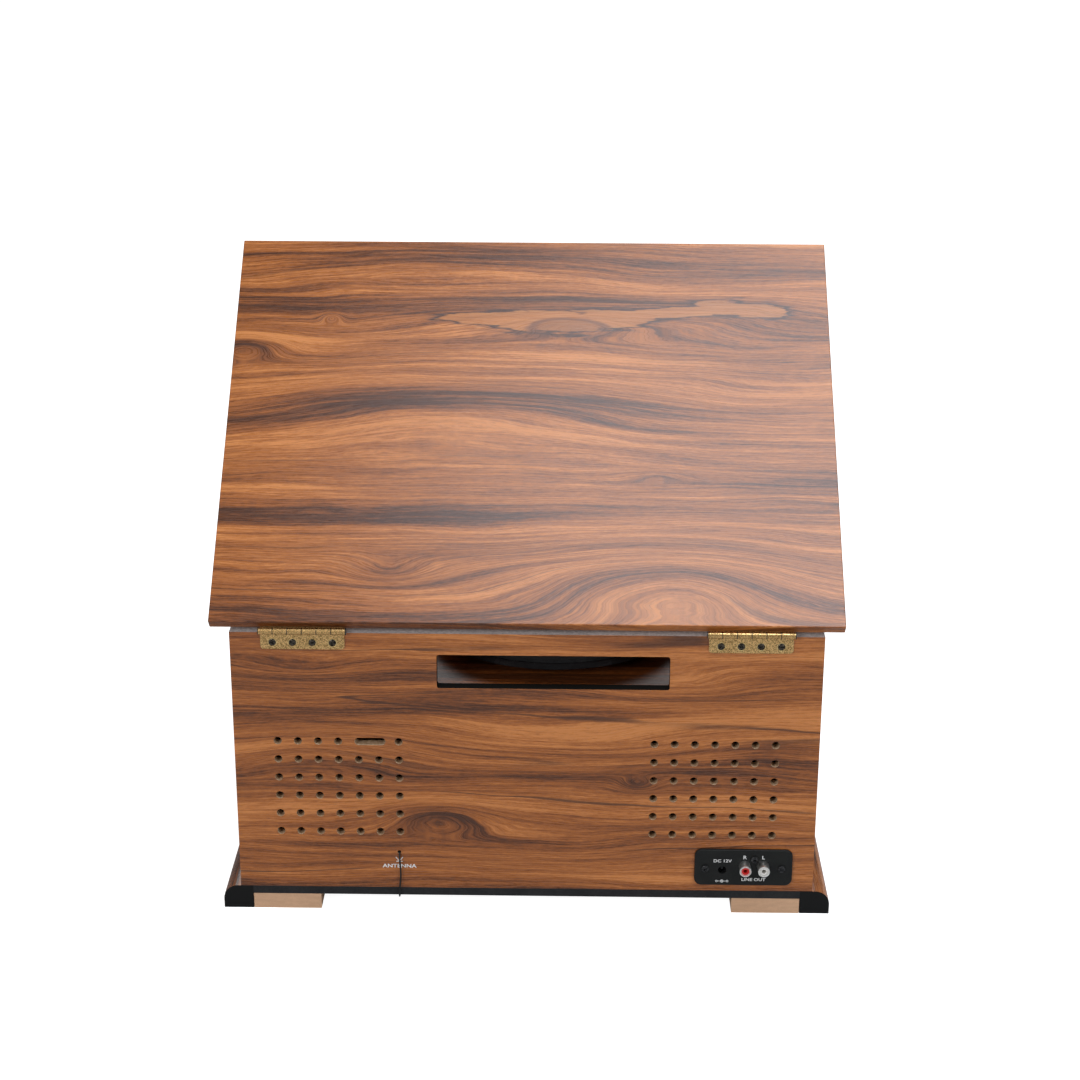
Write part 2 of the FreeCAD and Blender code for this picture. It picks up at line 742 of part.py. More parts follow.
def lid_panel():
    """The flat lid, recessed below for the hinge leaves."""
    low = S.lid_gap - S.hinge_up
    rear = -(S.lid_setback + S.hinge_back)
    slab = softened(box((LID_WIDTH, LID_DEPTH, S.lid_thick),
                        (-LID_WIDTH / 2, rear - LID_DEPTH, low)), S.lid_round, any_edge)
    recesses = [box((S.leaf_width, -leaf_front(), S.leaf_thick),
                    (side * S.hinge_place - S.leaf_width / 2, leaf_front(), low))
                for side in (-1, 1)]
    return on_lid(sub_part("lid_panel", cut(slab, *recesses)))


def leaf_front():
    """The lid leaves' front edge, measured from the hinge axis."""
    return -(S.hinge_back + S.lid_setback + S.leaf_reach)


def knuckles(side, first):
    """Every other knuckle of one hinge along its axis, and their joint length."""
    pitch = S.hinge_length / S.knuckle_count
    left = side * S.hinge_place - S.hinge_length / 2
    starts = []
    for number in range(first, int(float(S.knuckle_count)), 2):
        starts.append(left + pitch * number + S.knuckle_gap / 2)
    return starts, pitch - S.knuckle_gap


def hinge_leaves():
    """The cabinet leaves behind the back, the lid leaves under the lid, the pins."""
    cabinet, lid, pins = [], [], []
    for side in (-1, 1):
        cabinet.append(cabinet_leaf(side))
        lid.append(lid_leaf(side))
        left = side * S.hinge_place - S.hinge_length / 2
        pins.append(rod(S.pin_radius, S.hinge_length, (left, 0, 0), "+X"))
    place(sub_part("hinge_cabinet_leaves", group(*cabinet)), (0, HINGE_Y, HINGE_Z))
    place(sub_part("hinge_pins", group(*pins)), (0, HINGE_Y, HINGE_Z))
    on_lid(sub_part("hinge_lid_leaves", group(*lid)))


def cabinet_leaf(side):
    """A leaf that hangs down behind the back, with its knuckles."""
    left = side * S.hinge_place - S.leaf_width / 2
    high = -(S.knuckle_radius + S.leaf_clear)
    low = -(S.hinge_up + S.leaf_drop)
    plate = softened(box((S.leaf_width, S.leaf_thick, high - low), (left, -S.hinge_back, low)),
                     S.leaf_corner, lower_corner(low))
    starts, length = knuckles(side, 0)
    solids = [plate]
    for start in starts:
        solids.append(box((length, S.leaf_thick, -high), (start, -S.hinge_back, high)))
        solids.append(rod(S.knuckle_radius, length, (start, 0, 0), "+X"))
    bore = rod(S.pin_radius, S.hinge_length + 2,
               (side * S.hinge_place - S.hinge_length / 2 - 1, 0, 0), "+X")
    cones = [cone(S.hinge_screw_shank, S.hinge_screw_head, S.leaf_thick,
                  (across, -S.hinge_back, S.leaf_drop - S.hinge_screw_drop + low), "+Y")
             for across in hinge_screw_places(side)]
    return cut(fuse(*solids), bore, *cones)


def lower_corner(low):
    """A test for the two lower corners of a hanging leaf."""
    def chosen(edge):
        low_end = min(vertex.Point.z for vertex in edge.Vertexes)
        return runs_along("y")(edge) and abs(low_end - float(low)) < 0.01
    return chosen


def lid_leaf(side):
    """A leaf let into the lid's underside, with its knuckles, lid shut."""
    left = side * S.hinge_place - S.leaf_width / 2
    low = S.lid_gap - S.hinge_up
    back = -(S.knuckle_radius + S.leaf_clear)
    plate = box((S.leaf_width, back - leaf_front(), S.leaf_thick), (left, leaf_front(), low))
    starts, length = knuckles(side, 1)
    solids = [plate]
    for start in starts:
        solids.append(box((length, -back, S.leaf_thick), (start, back, low)))
        solids.append(rod(S.knuckle_radius, length, (start, 0, 0), "+X"))
    bore = rod(S.pin_radius + S.pin_clearance, S.hinge_length + 2,
               (side * S.hinge_place - S.hinge_length / 2 - 1, 0, 0), "+X")
    cones = [cone(S.hinge_screw_head, S.hinge_screw_shank, S.leaf_thick,
                  (across, -(S.hinge_screw_reach + S.hinge_back), low), "+Z")
             for across in hinge_screw_places(side)]
    return cut(fuse(*solids), bore, *cones)


def hinge_screw_places(side):
    """The four screws' places along one hinge."""
    middle = side * S.hinge_place
    return [middle + sign * reach for reach in (S.hinge_screw_inner, S.hinge_screw_outer)
            for sign in (-1, 1)]


def hinge_screws():
    """Countersunk screws through the cabinet leaves and the lid leaves."""
    cabinet, lid = [], []
    low = S.lid_gap - S.hinge_up
    drop = -(S.hinge_up + S.hinge_screw_drop)
    for side in (-1, 1):
        for across in hinge_screw_places(side):
            cabinet.append(fuse(
                cone(S.hinge_screw_shank, S.hinge_screw_head, S.leaf_thick,
                     (across, -S.hinge_back, drop), "+Y"),
                rod(S.hinge_screw_shank, S.hinge_screw_length,
                    (across, -(S.hinge_back + S.hinge_screw_length), drop), "+Y")))
            lid.append(fuse(
                cone(S.hinge_screw_head, S.hinge_screw_shank, S.leaf_thick,
                     (across, -(S.hinge_screw_reach + S.hinge_back), low), "+Z"),
                rod(S.hinge_screw_shank, S.hinge_screw_length - S.leaf_thick,
                    (across, -(S.hinge_screw_reach + S.hinge_back), low + S.leaf_thick),
                    "+Z")))
    place(sub_part("hinge_cabinet_screws", group(*cabinet)), (0, HINGE_Y, HINGE_Z))
    on_lid(sub_part("hinge_lid_screws", group(*lid)))


def lid_bumpers():
    """Two rubber buttons under the lid's front corners."""
    low = S.lid_gap - S.hinge_up - S.bumper_proud
    back = S.bumper_inset - S.hinge_back - S.cabinet_depth
    buttons = [rod(S.bumper_radius, S.bumper_proud,
                   (side * (SIDE_X - S.wall / 2), back, low), "+Z") for side in (-1, 1)]
    return on_lid(sub_part("lid_bumpers", group(*buttons)))


# ------------------------------------------------------------------------ lid stay

def stay_plane():
    """The stay bar's inner face across the player."""
    return INNER_X - S.track_depth - S.bar_clear - S.bar_thick


def stay_track():
    """A channel along the right wall, in line with the hinge axis."""
    height = S.track_height
    length = S.track_last - S.track_first
    outer = box((S.track_depth, length, height),
                (INNER_X - S.track_depth, -S.track_last, -height / 2))
    hollow = box((S.track_depth - S.track_wall, length - 2 * S.track_wall,
                  height - 2 * S.track_wall),
                 (INNER_X - S.track_depth, -S.track_last + S.track_wall,
                  S.track_wall - height / 2))
    return place(sub_part("stay_track", cut(outer, hollow)), (0, HINGE_Y, HINGE_Z),
                 (1, 0, 0), S.track_fall)


def stay_pivot():
    """The lid pin's distance forward and its height, lid shut."""
    angle = S.track_fall - S.stay_start
    return -cosine(angle, S.stay_arm), -sine(angle, S.stay_arm)


def stay_bracket():
    """The bracket under the lid that carries the stay's pin."""
    forward, height = stay_pivot()
    low = S.lid_gap - S.hinge_up
    inner = stay_plane() - S.bar_gap - S.bracket_thick
    ear = box((S.bracket_thick, S.bracket_width, low - height + S.bracket_width / 2),
              (inner, forward - S.bracket_width / 2, height - S.bracket_width / 2))
    foot = box((S.bracket_foot, S.bracket_width, S.bracket_thick),
               (inner - S.bracket_foot + S.bracket_thick, forward - S.bracket_width / 2,
                low - S.bracket_thick))
    pin = rod(S.stay_pin, S.bracket_thick + S.bar_thick + 2 * S.bar_gap,
              (inner, forward, height), "+X")
    return on_lid(sub_part("stay_bracket", fuse(ear, foot, pin)))


def stay_bar():
    """The bar from the lid's pin to the roller in the track."""
    bar = fuse(box((S.bar_thick, S.stay_arm, S.bar_width), (0, -S.stay_arm, -S.bar_width / 2)),
               rod(S.bar_width / 2, S.bar_thick, (0, 0, 0), "+X"),
               rod(S.bar_width / 2, S.bar_thick, (0, -S.stay_arm, 0), "+X"))
    hole = rod(S.stay_pin + S.pin_clearance, S.bar_thick + 2, (-1, 0, 0), "+X")
    body = cut(bar, hole)
    return stay_placed(sub_part("stay_bar", body))


def stay_roller():
    """The roller and its pin, fixed in the bar's end."""
    inner = S.bar_thick
    pin = rod(S.stay_pin, S.bar_clear + S.roller_clear, (inner, -S.stay_arm, 0), "+X")
    roller = rod(S.roller_radius, S.roller_thick,
                 (inner + S.bar_clear + S.roller_clear, -S.stay_arm, 0), "+X")
    return stay_placed(sub_part("stay_roller", fuse(pin, roller)))


def stay_placed(item):
    """Put the bar, modelled along -Y from its pin, where the open lid holds it."""
    rise = S.lid_open - (S.track_fall - S.stay_start)
    across, up = -cosine(rise, S.stay_arm), sine(rise, S.stay_arm)
    fall = S.lid_open + S.track_fall + S.stay_start
    return place(item, (stay_plane(), HINGE_Y + across, HINGE_Z + up), (1, 0, 0), fall)


# ----------------------------------------------------------------------- turntable

def pulley_place():
    """The motor pulley's middle, to the front left of the platter's."""
    return (S.spindle_side - cosine(45, S.pulley_distance),
            SPINDLE_Y - sine(45, S.pulley_distance))


def platter_bearing():
    """A flanged bush in the deck that the spindle turns in."""
    inner = S.spindle_shaft + S.bush_clear
    outer = inner + S.bush_wall
    body = turned("platter_bearing", [
        (inner, -S.deck_thick), (outer, -S.deck_thick), (outer, 0), (S.bush_flange, 0),
        (S.bush_flange, S.bush_flange_thick), (inner, S.bush_flange_thick)])
    return place(sub_part("platter_bearing", body), (S.spindle_side, SPINDLE_Y, DECK_Z))


def platter_spindle():
    """The steel shaft, stepped above the mat to the pin that centres a record."""
    step, top, nose = S.platter_lift + S.platter_height + S.mat_thick, S.spindle_rise, 2
    body = turned("platter_spindle", [
        (0, -S.spindle_fall), (S.spindle_shaft, -S.spindle_fall), (S.spindle_shaft, step),
        (S.spindle_radius, step), (S.spindle_radius, top - nose),
        (S.spindle_radius / 2, top), (0, top)])
    return place(sub_part("platter_spindle", body), (S.spindle_side, SPINDLE_Y, DECK_Z))


def platter():
    """The platter: web, raised rim, hub and the ring that the belt drives."""
    web = S.platter_height - S.platter_web
    ring = S.drive_radius - S.drive_wall
    outer = S.platter_radius
    body = turned("platter", [
        (S.spindle_shaft, -S.hub_fall), (S.hub_radius, -S.hub_fall),
        (S.hub_radius, web), (ring, web), (ring, -S.drive_fall),
        (S.drive_radius, -S.drive_fall), (S.drive_radius, web),
        (outer - S.platter_rim, web), (outer - S.platter_rim, 0), (outer, 0),
        (outer, S.platter_height - S.platter_edge),
        (outer - S.platter_edge, S.platter_height), (S.spindle_shaft, S.platter_height)])
    return place(sub_part("platter", body), (S.spindle_side, SPINDLE_Y, PLATTER_Z))


def slip_mat():
    """The mat that lies on the platter."""
    disc = cut(rod(S.mat_radius, S.mat_thick, (0, 0, 0)), rod(S.mat_hole, S.mat_thick, (0, 0, 0)))
    return place(sub_part("slip_mat", disc), (S.spindle_side, SPINDLE_Y, PLATTER_TOP))


def motor():
    """The motor can under the deck and the boss round its shaft."""
    across, along = pulley_place()
    top = DECK_Z - S.deck_thick
    can = softened(rod(S.motor_radius, S.motor_height, (0, 0, -S.motor_height)), 1.5, any_edge)
    boss = rod(S.motor_boss - S.boss_clear, S.deck_thick - 2, (0, 0, 0))
    bore = rod(S.motor_shaft + S.shaft_clear, S.motor_height, (0, 0, -S.motor_height / 2))
    return place(sub_part("motor", cut(fuse(can, boss), bore)), (across, along, top))


def motor_pulley():
    """The flanged pulley in one piece with the motor's shaft."""
    across, along = pulley_place()
    edge, radius = S.pulley_flange, S.pulley_radius
    deep = -(S.pulley_lift + S.deck_thick + S.motor_height / 3)
    body = turned("motor_pulley", [
        (0, deep), (S.motor_shaft, deep), (S.motor_shaft, 0), (radius + edge, 0),
        (radius + edge, edge / 2), (radius, edge), (radius, S.pulley_height - edge),
        (radius + edge, S.pulley_height - edge / 2), (radius + edge, S.pulley_height),
        (0, S.pulley_height)])
    return place(sub_part("motor_pulley", body), (across, along, DECK_Z + S.pulley_lift))


def belt_loop(grow):
    """The face inside a belt's path round the drive ring and the pulley."""
    large = float(S.drive_radius) + grow
    small = float(S.pulley_radius) + grow
    apart = float(S.pulley_distance)
    lean = math.acos((large - small) / apart)
    ends = []
    for middle, radius in ((0.0, large), (apart, small)):
        ends.append([Vector(middle + radius * math.cos(lean), sign * radius * math.sin(lean), 0)
                     for sign in (-1, 1)])
    far = Part.Arc(ends[0][1], Vector(-large, 0, 0), ends[0][0]).toShape()
    near = Part.Arc(ends[1][0], Vector(apart + small, 0, 0), ends[1][1]).toShape()
    runs = [Part.LineSegment(ends[0][0], ends[1][0]).toShape(),
            Part.LineSegment(ends[1][1], ends[0][1]).toShape()]
    return Part.Face(Part.Wire(Part.__sortEdges__([far, near] + runs)))


def drive_belt():
    """The flat belt round the platter's drive ring and the pulley."""
    inner = float(S.belt_clear)
    outer = inner + float(S.belt_thick)
    height = Vector(0, 0, float(S.belt_width))
    item = DOC.addObject("Part::Feature", "DriveBelt")
    item.Shape = belt_loop(outer).extrude(height).cut(belt_loop(inner).extrude(height))
    low = DECK_Z + S.pulley_lift + (S.pulley_height - S.belt_width) / 2
    place(item, (S.spindle_side, SPINDLE_Y, low), (0, 0, 1), 225)
    return sub_part("drive_belt", item)


# ------------------------------------------------------------------------- tonearm

def tonearm_base():
    """The round base on the deck, with the column the arm swivels on."""
    bore = S.swivel_pin + S.swivel_clear
    body = turned("tonearm_base", [
        (bore, -2), (S.swivel_pin + 2, -2), (S.swivel_pin + 2, 0), (S.base_radius, 0),
        (S.base_radius, S.base_height - 2), (S.base_radius - 2, S.base_height),
        (S.column_radius, S.base_height), (S.column_radius, S.column_top),
        (bore, S.column_top)])
    return place(sub_part("tonearm_base", body), (S.pivot_side, PIVOT_Y, DECK_Z))


def tonearm_yoke():
    """The yoke that swings, with its swivel pin and two cheeks."""
    low = S.column_top + S.yoke_gap
    plate = rod(S.yoke_radius, S.yoke_plate, (0, 0, low))
    pin = rod(S.swivel_pin, S.swivel_depth, (0, 0, low - S.swivel_depth))
    solids = [plate, pin]
    tall = S.pivot_rise + S.yoke_over - low
    half = S.yoke_inside / 2
    for left in (-half - S.yoke_cheek, half):
        solids.append(box((S.yoke_cheek, S.yoke_depth, tall), (left, -S.yoke_depth / 2, low)))
    across = rod(S.trunnion_radius + S.trunnion_clear, S.yoke_inside + 2 * S.yoke_cheek + 2,
                 (-half - S.yoke_cheek - 1, 0, S.pivot_rise), "+X")
    item = cut(fuse(*solids), across)
    return place(sub_part("tonearm_yoke", item), (S.pivot_side, PIVOT_Y, DECK_Z))


def tonearm_tube():
    """The pivot block with its trunnions, and the tube that runs through it."""
    block = box((S.block_width, S.block_length, S.block_height),
                (-S.block_width / 2, -S.block_length / 2, -S.block_height / 2))
    pins = rod(S.trunnion_radius, S.yoke_inside + 2 * S.yoke_cheek,
               (-S.yoke_inside / 2 - S.yoke_cheek, 0, 0), "+X")
    length = S.tube_reach + S.tube_tail
    tube = rod(S.tube_radius, length, (0, -S.tube_reach, 0), "+Y")
    bore = rod(S.tube_bore, length, (0, -S.tube_reach, 0), "+Y")
    item = cut(fuse(block, pins, tube), bore)
    return place(sub_part("tonearm_tube", item), (S.pivot_side, PIVOT_Y, PIVOT_Z))


def counterweight():
    """The weight on the tube's tail."""
    ring = softened(rod(S.weight_radius, S.weight_length, (0, S.weight_start, 0), "+Y"),
                    1, any_edge)
    bore = rod(S.tube_radius, S.weight_length + 2, (0, S.weight_start - 1, 0), "+Y")
    return place(sub_part("counterweight", cut(ring, bore)), (S.pivot_side, PIVOT_Y, PIVOT_Z))


def headshell():
    """The shell that plugs on the tube's front end, with its finger lift."""
    front = -(S.tube_reach + S.shell_length)
    back = -S.tube_reach
    shell = box((S.shell_width, S.shell_length, S.shell_height),
                (-S.shell_width / 2, front, -S.shell_height / 2))
    hollow = box((S.shell_width - 2 * S.shell_wall, S.shell_length - 8 - S.shell_wall,
                  S.shell_height - S.shell_wall),
                 (-S.shell_width / 2 + S.shell_wall, front + S.shell_wall,
                  -S.shell_height / 2))
    plug = rod(S.tube_bore, 10, (0, back, 0), "+Y")
    finger = box((S.finger_reach + 2, S.finger_width, S.finger_thick),
                 (S.shell_width / 2 - 2, front + 6, S.shell_height / 2 - S.finger_thick))
    item = fuse(cut(shell, hollow), plug, finger)
    return place(sub_part("headshell", item), (S.pivot_side, PIVOT_Y, PIVOT_Z))


def cartridge():
    """The cartridge under the shell, with its stylus."""
    top = S.shell_height / 2 - S.shell_wall
    front = -(S.effective_length + 6)
    body = box((S.cartridge_width, S.cartridge_length,
                top + S.shell_height / 2 + S.cartridge_height),
               (-S.cartridge_width / 2, front, -S.shell_height / 2 - S.cartridge_height))
    low = -S.shell_height / 2 - S.cartridge_height
    tip = cone(S.stylus_radius * 0.3, S.stylus_radius, S.stylus_fall,
               (0, -S.effective_length, low - S.stylus_fall))
    return place(sub_part("cartridge", fuse(body, tip)), (S.pivot_side, PIVOT_Y, PIVOT_Z))


def arm_rest():
    """The post that the arm lies on, with a stop outside the arm."""
    rise = S.pivot_rise - S.tube_radius - S.rest_gap
    post = box((S.rest_width, S.rest_depth, rise), (-S.rest_width / 2, -S.rest_depth / 2, 0))
    left = S.tube_radius + S.rest_gap
    stop = box((S.rest_stop, S.rest_depth, S.pivot_rise + S.rest_over),
               (left, -S.rest_depth / 2, 0))
    bore = rod(S.clip_pin + S.clip_clear, S.rest_depth + 2, clip_axis(-S.rest_depth / 2 - 1), "+Y")
    gap = box((S.rest_stop + 2, S.clip_width + 2 * S.clip_gap, S.rest_stop + 1),
              (left - 1, -S.clip_width / 2 - S.clip_gap,
               S.pivot_rise + S.rest_over - S.rest_stop - S.clip_gap))
    item = cut(fuse(post, stop), bore, gap)
    return rest_placed(sub_part("arm_rest", item))


def clip_axis(along):
    """A point of the clip's hinge line, measured from the arm rest's foot."""
    return (S.tube_radius + S.rest_gap + S.rest_stop / 2, along,
            S.pivot_rise + S.rest_over - S.rest_stop / 2)


def rest_placed(item):
    """Put an item, modelled at the arm rest's foot, on the deck."""
    return place(item, (S.pivot_side, PIVOT_Y - S.rest_back, DECK_Z))


def arm_clip():
    """The clip that folds over the arm; it lies open, pointing outwards."""
    across, _, level = clip_axis(0)
    pin = rod(S.clip_pin, S.rest_depth, clip_axis(-S.rest_depth / 2), "+Y")
    eye = rod(S.clip_thick / 2 + 0.4, S.clip_width, clip_axis(-S.clip_width / 2), "+Y")
    tongue = box((S.clip_length, S.clip_width, S.clip_thick * 0.6),
                 (across, -S.clip_width / 2, level - S.clip_thick * 0.2))
    return rest_placed(sub_part("arm_clip", fuse(pin, eye, tongue)))


# ------------------------------------------------------------------- deck fittings

def switch_plate():
    """The plate with two slots for the speed and the auto-stop sliders."""
    body = new_body("switch_plate")
    sketch = new_sketch(body, "XY_Plane")
    middle = FRONT_Y + S.switch_front
    add_rectangle(sketch, S.switch_side - S.switch_width / 2,
                  S.switch_side + S.switch_width / 2,
                  middle - S.switch_height / 2, middle + S.switch_height / 2)
    pad(body, sketch, S.switch_thick)
    rounded(body, S.switch_corner, runs_along("z"))
    slots = new_sketch(body, "XY_Plane")
    end = S.slider_neck / 2 + S.slider_clear
    for start, travel in (speed_slide(), stop_slide()):
        add_rectangle(slots, start - end, start + travel + end,
                      middle - S.switch_slot / 2, middle + S.switch_slot / 2)
    pocket(body, slots)
    place(body, (0, 0, DECK_Z))
    return sub_part("switch_plate", body)


def speed_slide():
    """Where the speed slider starts, and its travel."""
    return S.switch_side - S.switch_apart - S.speed_travel / 2, S.speed_travel


def stop_slide():
    """Where the auto-stop slider starts, and its travel."""
    return S.switch_side + S.switch_apart - S.stop_travel / 2, S.stop_travel


def sliders():
    """The two slide buttons, each with a neck through its slot and a foot below."""
    for name, (start, _) in (("speed_slider", speed_slide()),
                             ("auto_stop_slider", stop_slide())):
        width, neck = S.slider_width, S.slider_neck
        top = S.switch_thick + S.slider_clear
        low = -(S.slider_clear + S.slider_foot)
        head = box((S.slider_length, width, S.slider_height),
                   (-S.slider_length / 2, -width / 2, top))
        stem = box((neck, neck, top - low), (-neck / 2, -neck / 2, low))
        foot = box((width, width, S.slider_foot), (-width / 2, -width / 2, low))
        head = softened(head, 0.8, lambda edge: edge.CenterOfMass.z > float(top) + 1)
        place(sub_part(name, fuse(head, stem, foot)),
              (start, FRONT_Y + S.switch_front, DECK_Z))


# --------------------------------------------------------------------------- front

def speakers():
    """Two small loudspeakers behind the baffle: baskets with magnets, and cones."""
    baskets, cones = [], []
    opening, wall, depth = S.speaker_opening, S.basket_wall, S.basket_depth
    clear, thin, deep = S.cone_clear, S.cone_wall, S.cone_depth
    for side in (-1, 1):
        middle = (side * S.speaker_place, INNER_FRONT_Y, WALL_Z + S.speaker_level)
        basket = turned("speaker_basket", [
            (opening, 0), (S.speaker_flange, 0), (S.speaker_flange, S.speaker_flange_thick),
            (opening + wall, S.speaker_flange_thick), (S.basket_back, depth),
            (S.magnet_radius, depth), (S.magnet_radius, depth + S.magnet_thick),
            (0, depth + S.magnet_thick), (0, depth - wall), (S.basket_back - wall, depth - wall)])
        baskets.append(place(basket, middle, *AXES["+Y"]))
        paper = turned("speaker_cone", [
            (S.cone_outer, clear), (S.cone_outer, clear + thin), (S.cone_inner, deep),
            (0, deep), (0, deep - thin), (S.cone_inner - thin, deep - thin)])
        cones.append(place(paper, middle, *AXES["+Y"]))
    sub_part("speaker_baskets", group(*baskets))
    sub_part("speaker_cones", group(*cones))


def grilles():
    """Two cloth-covered frames over the loudspeakers."""
    width, height, thick = S.grille_width, S.grille_height, S.grille_thick
    low = WALL_Z + S.grille_level - height / 2
    frames = []
    for side in (-1, 1):
        left = side * S.speaker_place - width / 2
        panel = softened(box((width, thick, height), (left, FRONT_Y - thick, low)),
                         S.grille_round,
                         lambda edge: edge.CenterOfMass.y < float(FRONT_Y) - 1)
        frame = S.grille_frame
        hollow = box((width - 2 * frame, thick, height - 2 * frame),
                     (left + frame, FRONT_Y - thick + S.grille_cloth, low + frame))
        frames.append(cut(panel, hollow))
    return sub_part("speaker_grilles", group(*frames))


def dial():
    """The tuning dial: bezel, window, scale card and pointer."""
    width, high, border = S.dial_width, S.dial_height, S.dial_border
    level = DIAL_Z
    inner_width, inner_high = width - 2 * border, high - 2 * border
    opening = (-inner_width / 2, level - inner_high / 2)
    outer = softened(box((width, S.dial_thick, high),
                         (-width / 2, FRONT_Y - S.dial_thick, level - high / 2)),
                     S.grille_round, runs_along("y"))
    hole = box((inner_width, S.dial_thick, inner_high),
               (opening[0], FRONT_Y - S.dial_thick, opening[1]))
    sub_part("dial_bezel", cut(outer, hole))
    window = box((inner_width, S.window_thick, inner_high),
                 (opening[0], FRONT_Y - S.window_thick, opening[1]))
    sub_part("dial_window", window)
    card_high = inner_high + 2 * S.scale_margin
    card = box((width, S.scale_thick, card_high),
               (-width / 2, INNER_FRONT_Y, level - card_high / 2))
    reach = S.pointer_travel + S.stem_width / 2 + S.stem_clear
    stem_z = level - S.stem_level
    slot = box((2 * reach, S.scale_thick, S.stem_width + 2 * S.stem_clear),
               (-reach, INNER_FRONT_Y, stem_z - S.stem_width / 2 - S.stem_clear))
    sub_part("dial_scale", cut(card, slot))
    tall = inner_high - 2 * S.pointer_short
    needle = box((S.pointer_width, S.pointer_thick, tall),
                 (-S.pointer_width / 2, INNER_FRONT_Y - S.pointer_back, level - tall / 2))
    stem = box((S.stem_width, S.pointer_back + S.stem_reach, S.stem_width),
               (-S.stem_width / 2, INNER_FRONT_Y - S.pointer_back, stem_z - S.stem_width / 2))
    sub_part("dial_pointer", fuse(needle, stem))


def controls():
    """Three controls: a body with bush and nut, and a knob with its stem."""
    bodies = []
    names = (("volume_knob", -1, S.knob_radius), ("function_knob", 0, S.knob_radius),
             ("tuning_knob", 1, S.tuning_radius))
    length = S.front_reach - S.nut_thick - S.knob_gap
    stem = S.knob_gap + S.nut_thick + S.wall + S.control_depth / 2
    for name, number, radius in names:
        across, level = number * S.knob_apart, WALL_Z + S.knob_level
        crown = S.knob_crown
        knob = turned(name, [
            (0, -stem), (S.shaft_radius, -stem), (S.shaft_radius, 0), (radius, 0),
            (radius, length - crown), (radius - crown, length), (0, length)])
        front = FRONT_Y - S.nut_thick - S.knob_gap
        place(sub_part(name, knob), (across, front, level), *AXES["-Y"])
        can = rod(S.control_radius, S.control_depth, (across, INNER_FRONT_Y, level), "+Y")
        bush = rod(S.control_bush, S.wall + S.nut_thick,
                   (across, FRONT_Y - S.nut_thick, level), "+Y")
        nut = rod(S.nut_radius, S.nut_thick, (across, FRONT_Y - S.nut_thick, level), "+Y")
        bore = rod(S.shaft_radius + S.pin_clearance,
                   S.wall + S.nut_thick + S.control_depth * 0.6,
                   (across, FRONT_Y - S.nut_thick, level), "+Y")
        bodies.append(cut(fuse(can, bush, nut), bore))
    sub_part("control_bodies", group(*bodies))


# --------------------------------------------------------------------- electronics

def electronics():
    """The circuit board, and its posts and larger components."""
    left, back = -S.board_width / 2, REAR_Y - S.board_back
    low = WALL_Z + S.board_lift
    sub_part("circuit_board", box((S.board_width, S.board_depth, S.board_thick),
                                  (left, back, low)))
    posts = [rod(S.post_radius, S.board_lift, (across, along, WALL_Z))
             for across in (left + S.post_inset, -left - S.post_inset)
             for along in (back + S.post_inset, back + S.board_depth - S.post_inset)]
    top = low + S.board_thick
    cans = [rod(S.can_radius, S.can_height, (number * 3 * S.can_radius, back + 20, top))
            for number in (-2, -1, 0)]
    sink = box((S.sink_width, S.sink_depth, S.sink_height), (10, back + 70, top))
    tuner = box((S.tuner_side, S.tuner_side, S.tuner_height), (30, back + 20, top))
    sub_part("board_components", group(*posts, *cans, sink, tuner))


# -------------------------------------------------------------------- antenna wire

def wire_route():
    """The wire's points from the hole down to the coil: across, behind, height."""
    level = float(TOP_Z - S.wire_hole_drop)
    across = float(S.wire_hole_place)
    rear = float(REAR_Y)
    points = [(0.0, -13.0, level), (0.0, -5.0, level), (-0.2, 1.0, level - 0.6),
              (-0.5, 3.6, level - 4.6), (-0.9, 3.2, level - 11.0),
              (-1.1, 2.2, level - 19.0), (-0.1, 1.8, level - 29.0),
              (0.3, 1.5, level - 35.2), (0.4, 0.6, level - 37.9),
              (0.5, -2.6, level - 38.3), (0.6, -8.5, 9.6), (0.7, -19.0, 5.6),
              (0.6, -33.0, 2.4), (0.2, -45.0, 0.8)]
    return [Vector(across + side, rear + behind, height) for side, behind, height in points]


def rounded_route(points):
    """Straight runs joined by tangent arcs; returns the wire and the arcs' radii."""
    edges, radii, start = [], [], points[0]
    for before, corner, after in zip(points, points[1:], points[2:]):
        inward, outward = before - corner, after - corner
        reach = 0.45 * min(inward.Length, outward.Length)
        half_turn = (math.pi - inward.getAngle(outward)) / 2
        radii.append(reach / math.tan(half_turn))
        first = corner + inward.normalize() * reach
        last = corner + outward.normalize() * reach
        middle = corner + (first + last - corner * 2).normalize() * (
            radii[-1] / math.cos(half_turn) - radii[-1])
        edges.append(Part.LineSegment(start, first).toShape())
        edges.append(Part.Arc(first, middle, last).toShape())
        start = last
    edges.append(Part.LineSegment(start, points[-1]).toShape())
    return Part.Wire(edges), radii


def antenna_wire():
    """The thin aerial wire that hangs from its hole and tucks under the base."""
    points = wire_route()
    path, radii = rounded_route(points)
    circle = Part.Circle(points[0], points[1] - points[0], float(S.wire_radius))
    tube = path.makePipeShell([Part.Wire(circle.toShape())], True, False)
    section = math.pi * float(S.wire_radius) ** 2
    print(f"antenna wire: {path.Length:.1f} mm of tube, volume {tube.Volume:.2f}, "
          f"section times length {section * path.Length:.2f}")
    print("arc radii:", " ".join(f"{radius:.1f}" for radius in radii))
    print(f"coiled: {float(S.wire_length) - path.Length:.0f} mm")
    item = DOC.addObject("Part::Feature", "AntennaWire")
    item.Shape = tube
    return sub_part("antenna_wire", item)


